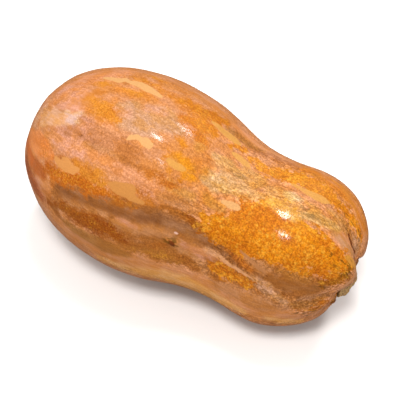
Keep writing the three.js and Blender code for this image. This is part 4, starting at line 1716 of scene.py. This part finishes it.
@dataclass(frozen=True)
class FarSide:
    """Goes on with the markings where the camera doesn't see the skin.

    Margins keep the strokes off the blossom's end and the rim, in millimetres.
    """

    seed: int = 11
    hidden: tuple[float, float] = (0.0, 0.12)
    margins: tuple[float, float, float] = (6.0, 4.0, 2.0)
    last_phase: float = 4.99
    bend: tuple[float, float] = (0.08, 0.06)
    thinnest: float = 0.35
    steps: int = 5
    furrow_steps: int = 16
    furrow_from: float = 0.35
    furrow_width: float = 6.0
    furrow_widths: tuple[float, float] = (0.3, 1.2)
    scar_radius: float = 7.0
    spreads: tuple[Spread, ...] = (
        Spread(Coat.GROUND, (Tint.PEACH, Tint.ROSE, Tint.SAND, Tint.MARIGOLD, Tint.CLAY,
                             Tint.HONEY, Tint.TAN, Tint.CORAL), 190, (20, 60), (10, 26),
               0.9, 5),
        Spread(Coat.GROUND, (Tint.PINK, Tint.COPPER, Tint.FAWN, Tint.GOLD), 130, (8, 30),
               (4, 10), 0.75, 3),
        Spread(Coat.FLAME, (Tint.ORANGE, Tint.AMBER, Tint.OCHRE, Tint.TANGERINE,
                            Tint.RUSSET), 46, (16, 60), (8, 22)),
        Spread(Coat.PALE, (Tint.CREAM, Tint.STRAW, Tint.BISCUIT), 34, (5, 18), (3, 7)),
        Spread(Coat.STREAKY, (Tint.TAN,), 22, (30, 60), (10, 16), 0.9, 5),
    )

    def paint(self, fruit: Fruit) -> None:
        """Strews the markings, draws the furrows and leaves the blossom's scar."""
        draw = np.random.default_rng(self.seed)
        form = fruit.form
        box = fruit.box
        even = box.ground.copy()
        for spread in self.spreads:
            for _ in range(spread.count):
                self.strew(fruit, spread, draw)
        arcs = np.linspace(self.furrow_from * form.bulb_arc, form.rim_arc,
                           self.furrow_steps)
        for phase in range(LOBES):
            # the furrows' own mauve and clay, deepened as painted shade of the creases
            tint = Tint.MAUVE if phase % 2 else Tint.CLAY
            widths = self.furrow_width * draw.uniform(*self.furrow_widths, len(arcs))
            furrow = Stroke("furrow", Coat.GROUND, tint, strength=0.6, soft=5)
            self.lay(fruit, furrow, arcs, np.full(len(arcs), float(phase)), widths)
        for tint, reach, soft in ((Tint.TAN, 2.0, 3), (Tint.BROWN, 1.0, 1.5),
                                  (Tint.SOOT, 0.25, 1)):
            scar = Stroke("scar of the blossom", Coat.GROUND, tint, strength=0.9, soft=soft)
            self.lay(fruit, scar, np.array([0.0, 1.0]), np.zeros(2),
                     np.full(2, 2 * reach * self.scar_radius))
        away = smoothstep(-fruit.facing(), *self.hidden)
        box.ground = lerp(even, box.ground, away[:, None])
        box.flame_inside += FAR_OUTSIDE * (1 - away)
        box.pale_inside += FAR_OUTSIDE * (1 - away)
        box.amounts[Coat.STREAKY] *= away

    def strew(self, fruit: Fruit, spread: Spread, draw: np.random.Generator) -> None:
        """Lays one stroke of a spread somewhere on the skin."""
        rim = fruit.form.rim_arc
        from_pole, from_rim, nearest = self.margins
        steps = np.linspace(0.0, 1.0, self.steps)
        start = draw.uniform(from_pole, rim - from_rim)
        arcs = np.clip(start + steps * draw.uniform(*spread.length), nearest, rim)
        turning, curling = self.bend
        bend = draw.normal(0, turning) * steps + draw.normal(0, curling) * steps ** 2
        phases = np.clip(draw.uniform(0.0, self.last_phase) + bend, 0.0, self.last_phase)
        widths = draw.uniform(*spread.width) * (self.thinnest + np.sin(math.pi * steps))
        tint = spread.tints[int(draw.integers(len(spread.tints)))]
        strewn = Stroke("strewn", spread.coat, tint, (), spread.strength, spread.soft)
        self.lay(fruit, strewn, arcs, phases, widths)

    def lay(self, fruit: Fruit, stroke: Stroke, arcs: np.ndarray, phases: np.ndarray,
            widths: np.ndarray) -> None:
        """Lays a stroke along arcs and phases of the fruit."""
        path = fruit.form.surface(arcs, phases) + fruit.offset
        fruit.box.lay(stroke, path, widths)


# ------------------------------------------------------------------ the stem stub

@dataclass
class Stub:
    """The dry stub of the stem: ridged, leaning and cut off askew."""

    form: FruitForm
    offset: np.ndarray
    gap: float = 0.3
    height: float = 10.9
    foot_radius: float = 10.4
    shank_radius: float = 9.5
    top_radius: float = 11.2
    top_edge: float = 0.8
    cup_depth: float = 1.2
    pinch: float = 0.18
    pinch_power: float = 1.4
    foot_handles: tuple[float, float] = (4.0, 6.0)
    foot_flare: float = 0.4
    top_handle: float = 2.0
    half_cup: tuple[float, float] = (0.6, 0.5)
    middle: float = 0.6
    lean: float = 3.0
    cut_slant: float = 0.25
    cut_angle: float = 57.0
    ring_step: float = 0.4
    segments: int = 240
    wrinkle: float = 0.35
    wrinkle_size: float = 1.6
    wrinkle_length: float = 0.12
    round_radius: float = 9.0
    edge_blend: float = 0.5
    tear: float = 0.5
    tear_reach: float = 2.0
    tear_sizes: tuple[float, float] = (2.2, 0.9)
    inwards: float = 0.3
    cut_blend: tuple[float, float] = (-0.3, 0.8)

    def outline(self) -> Outline:
        """The stub's outline: foot, waisted shank and a top cupped by drying."""
        foot = self.form.floor_at + self.gap
        top = foot + self.height
        middle = foot + self.middle * self.height
        edge = top - self.top_edge
        cup_share, radius_share = self.half_cup
        half_cup = (top - cup_share * self.cup_depth, radius_share * self.top_radius)
        rim = (top, self.top_radius - self.top_edge)
        first, second = self.foot_handles
        shank = self.shank_radius
        outline = Outline()
        outline.line((foot, 0), (foot, self.foot_radius))
        outline.stretch((foot, self.foot_radius), (foot + first, shank + self.foot_flare),
                        (foot + second, shank), (middle, shank))
        outline.stretch((middle, shank), (middle + self.top_handle, shank),
                        (edge - self.top_handle, self.top_radius), (edge, self.top_radius))
        outline.line((edge, self.top_radius), rim)
        outline.line(rim, half_cup)
        outline.line(half_cup, (top - self.cup_depth, 0))
        return outline

    def build(self) -> None:
        """Makes the stub in the frame of the part."""
        outline = self.outline()
        foot_arc, _, _, edge_arc, *_ = outline.ends
        rings = np.append(np.arange(0.0, outline.ends[-1], self.ring_step), outline.ends[-1])
        stub, arc, phase = turn("stem_stub", outline, rings, self.segments)
        along, radius, _ = outline.at(arc)
        turn_by = phase / LOBES * math.tau
        round_it = np.stack([np.cos(turn_by), np.sin(turn_by)], axis=1)
        on_bark = np.column_stack([arc * self.wrinkle_length, self.round_radius * round_it])
        ridges = np.abs(np.cos(np.pi * phase)) ** self.pinch_power
        ridged = radius * (1 - self.pinch * ridges)
        on_side = (smoothstep(arc, foot_arc, foot_arc + self.top_handle)
                   * (1 - smoothstep(arc, edge_arc - self.edge_blend,
                                     edge_arc + self.edge_blend)))
        wrinkles = noise_field(on_bark, self.wrinkle_size) - self.inwards
        ridged = ridged + self.wrinkle * on_side * wrinkles
        angle = self.form.angle_at(phase, np.full(len(phase), self.form.rim_at))
        rise = (along - self.form.floor_at - self.gap) / self.height
        slant = (self.cut_slant * rise ** 2 * ridged
                 * np.cos(angle - math.radians(self.cut_angle)))
        torn = smoothstep(arc, edge_arc - self.tear_reach, edge_arc)
        on_cut = np.column_stack([ridged[:, None] * round_it, np.zeros(len(arc))])
        coarse, fine = self.tear_sizes
        tears = (noise_field(on_cut, coarse, seed=5.0)
                 + 0.5 * noise_field(on_cut, fine, seed=9.0) - self.inwards)
        along = along + self.tear * torn * tears
        points = self.form.lay_down(along - slant, ridged, angle) + self.offset
        points[:, 1] -= self.lean * rise
        place(stub, points)
        mesh = stub.data
        keep(mesh, "flow", np.column_stack([arc, self.round_radius * round_it]) * MM)
        low, high = self.cut_blend
        keep(mesh, "cut", smoothstep(arc, edge_arc + low, edge_arc + high))
        mesh.materials.append(StubFinish().build())
        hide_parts("stem")
        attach(stub, "root")
        log.info("stem stub: %d vertices", len(points))


def main() -> None:
    """Builds the squash and its studio."""
    logging.basicConfig(level=logging.INFO)
    view = View()
    view.stand()
    Studio().build(view)
    for group in (Specks(), Fibres(), Fray()):
        group.build()
    fruit = Fruit(view)
    fruit.build()
    Stub(fruit.form, fruit.offset).build()
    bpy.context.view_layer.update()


if __name__ == "__main__":
    main()
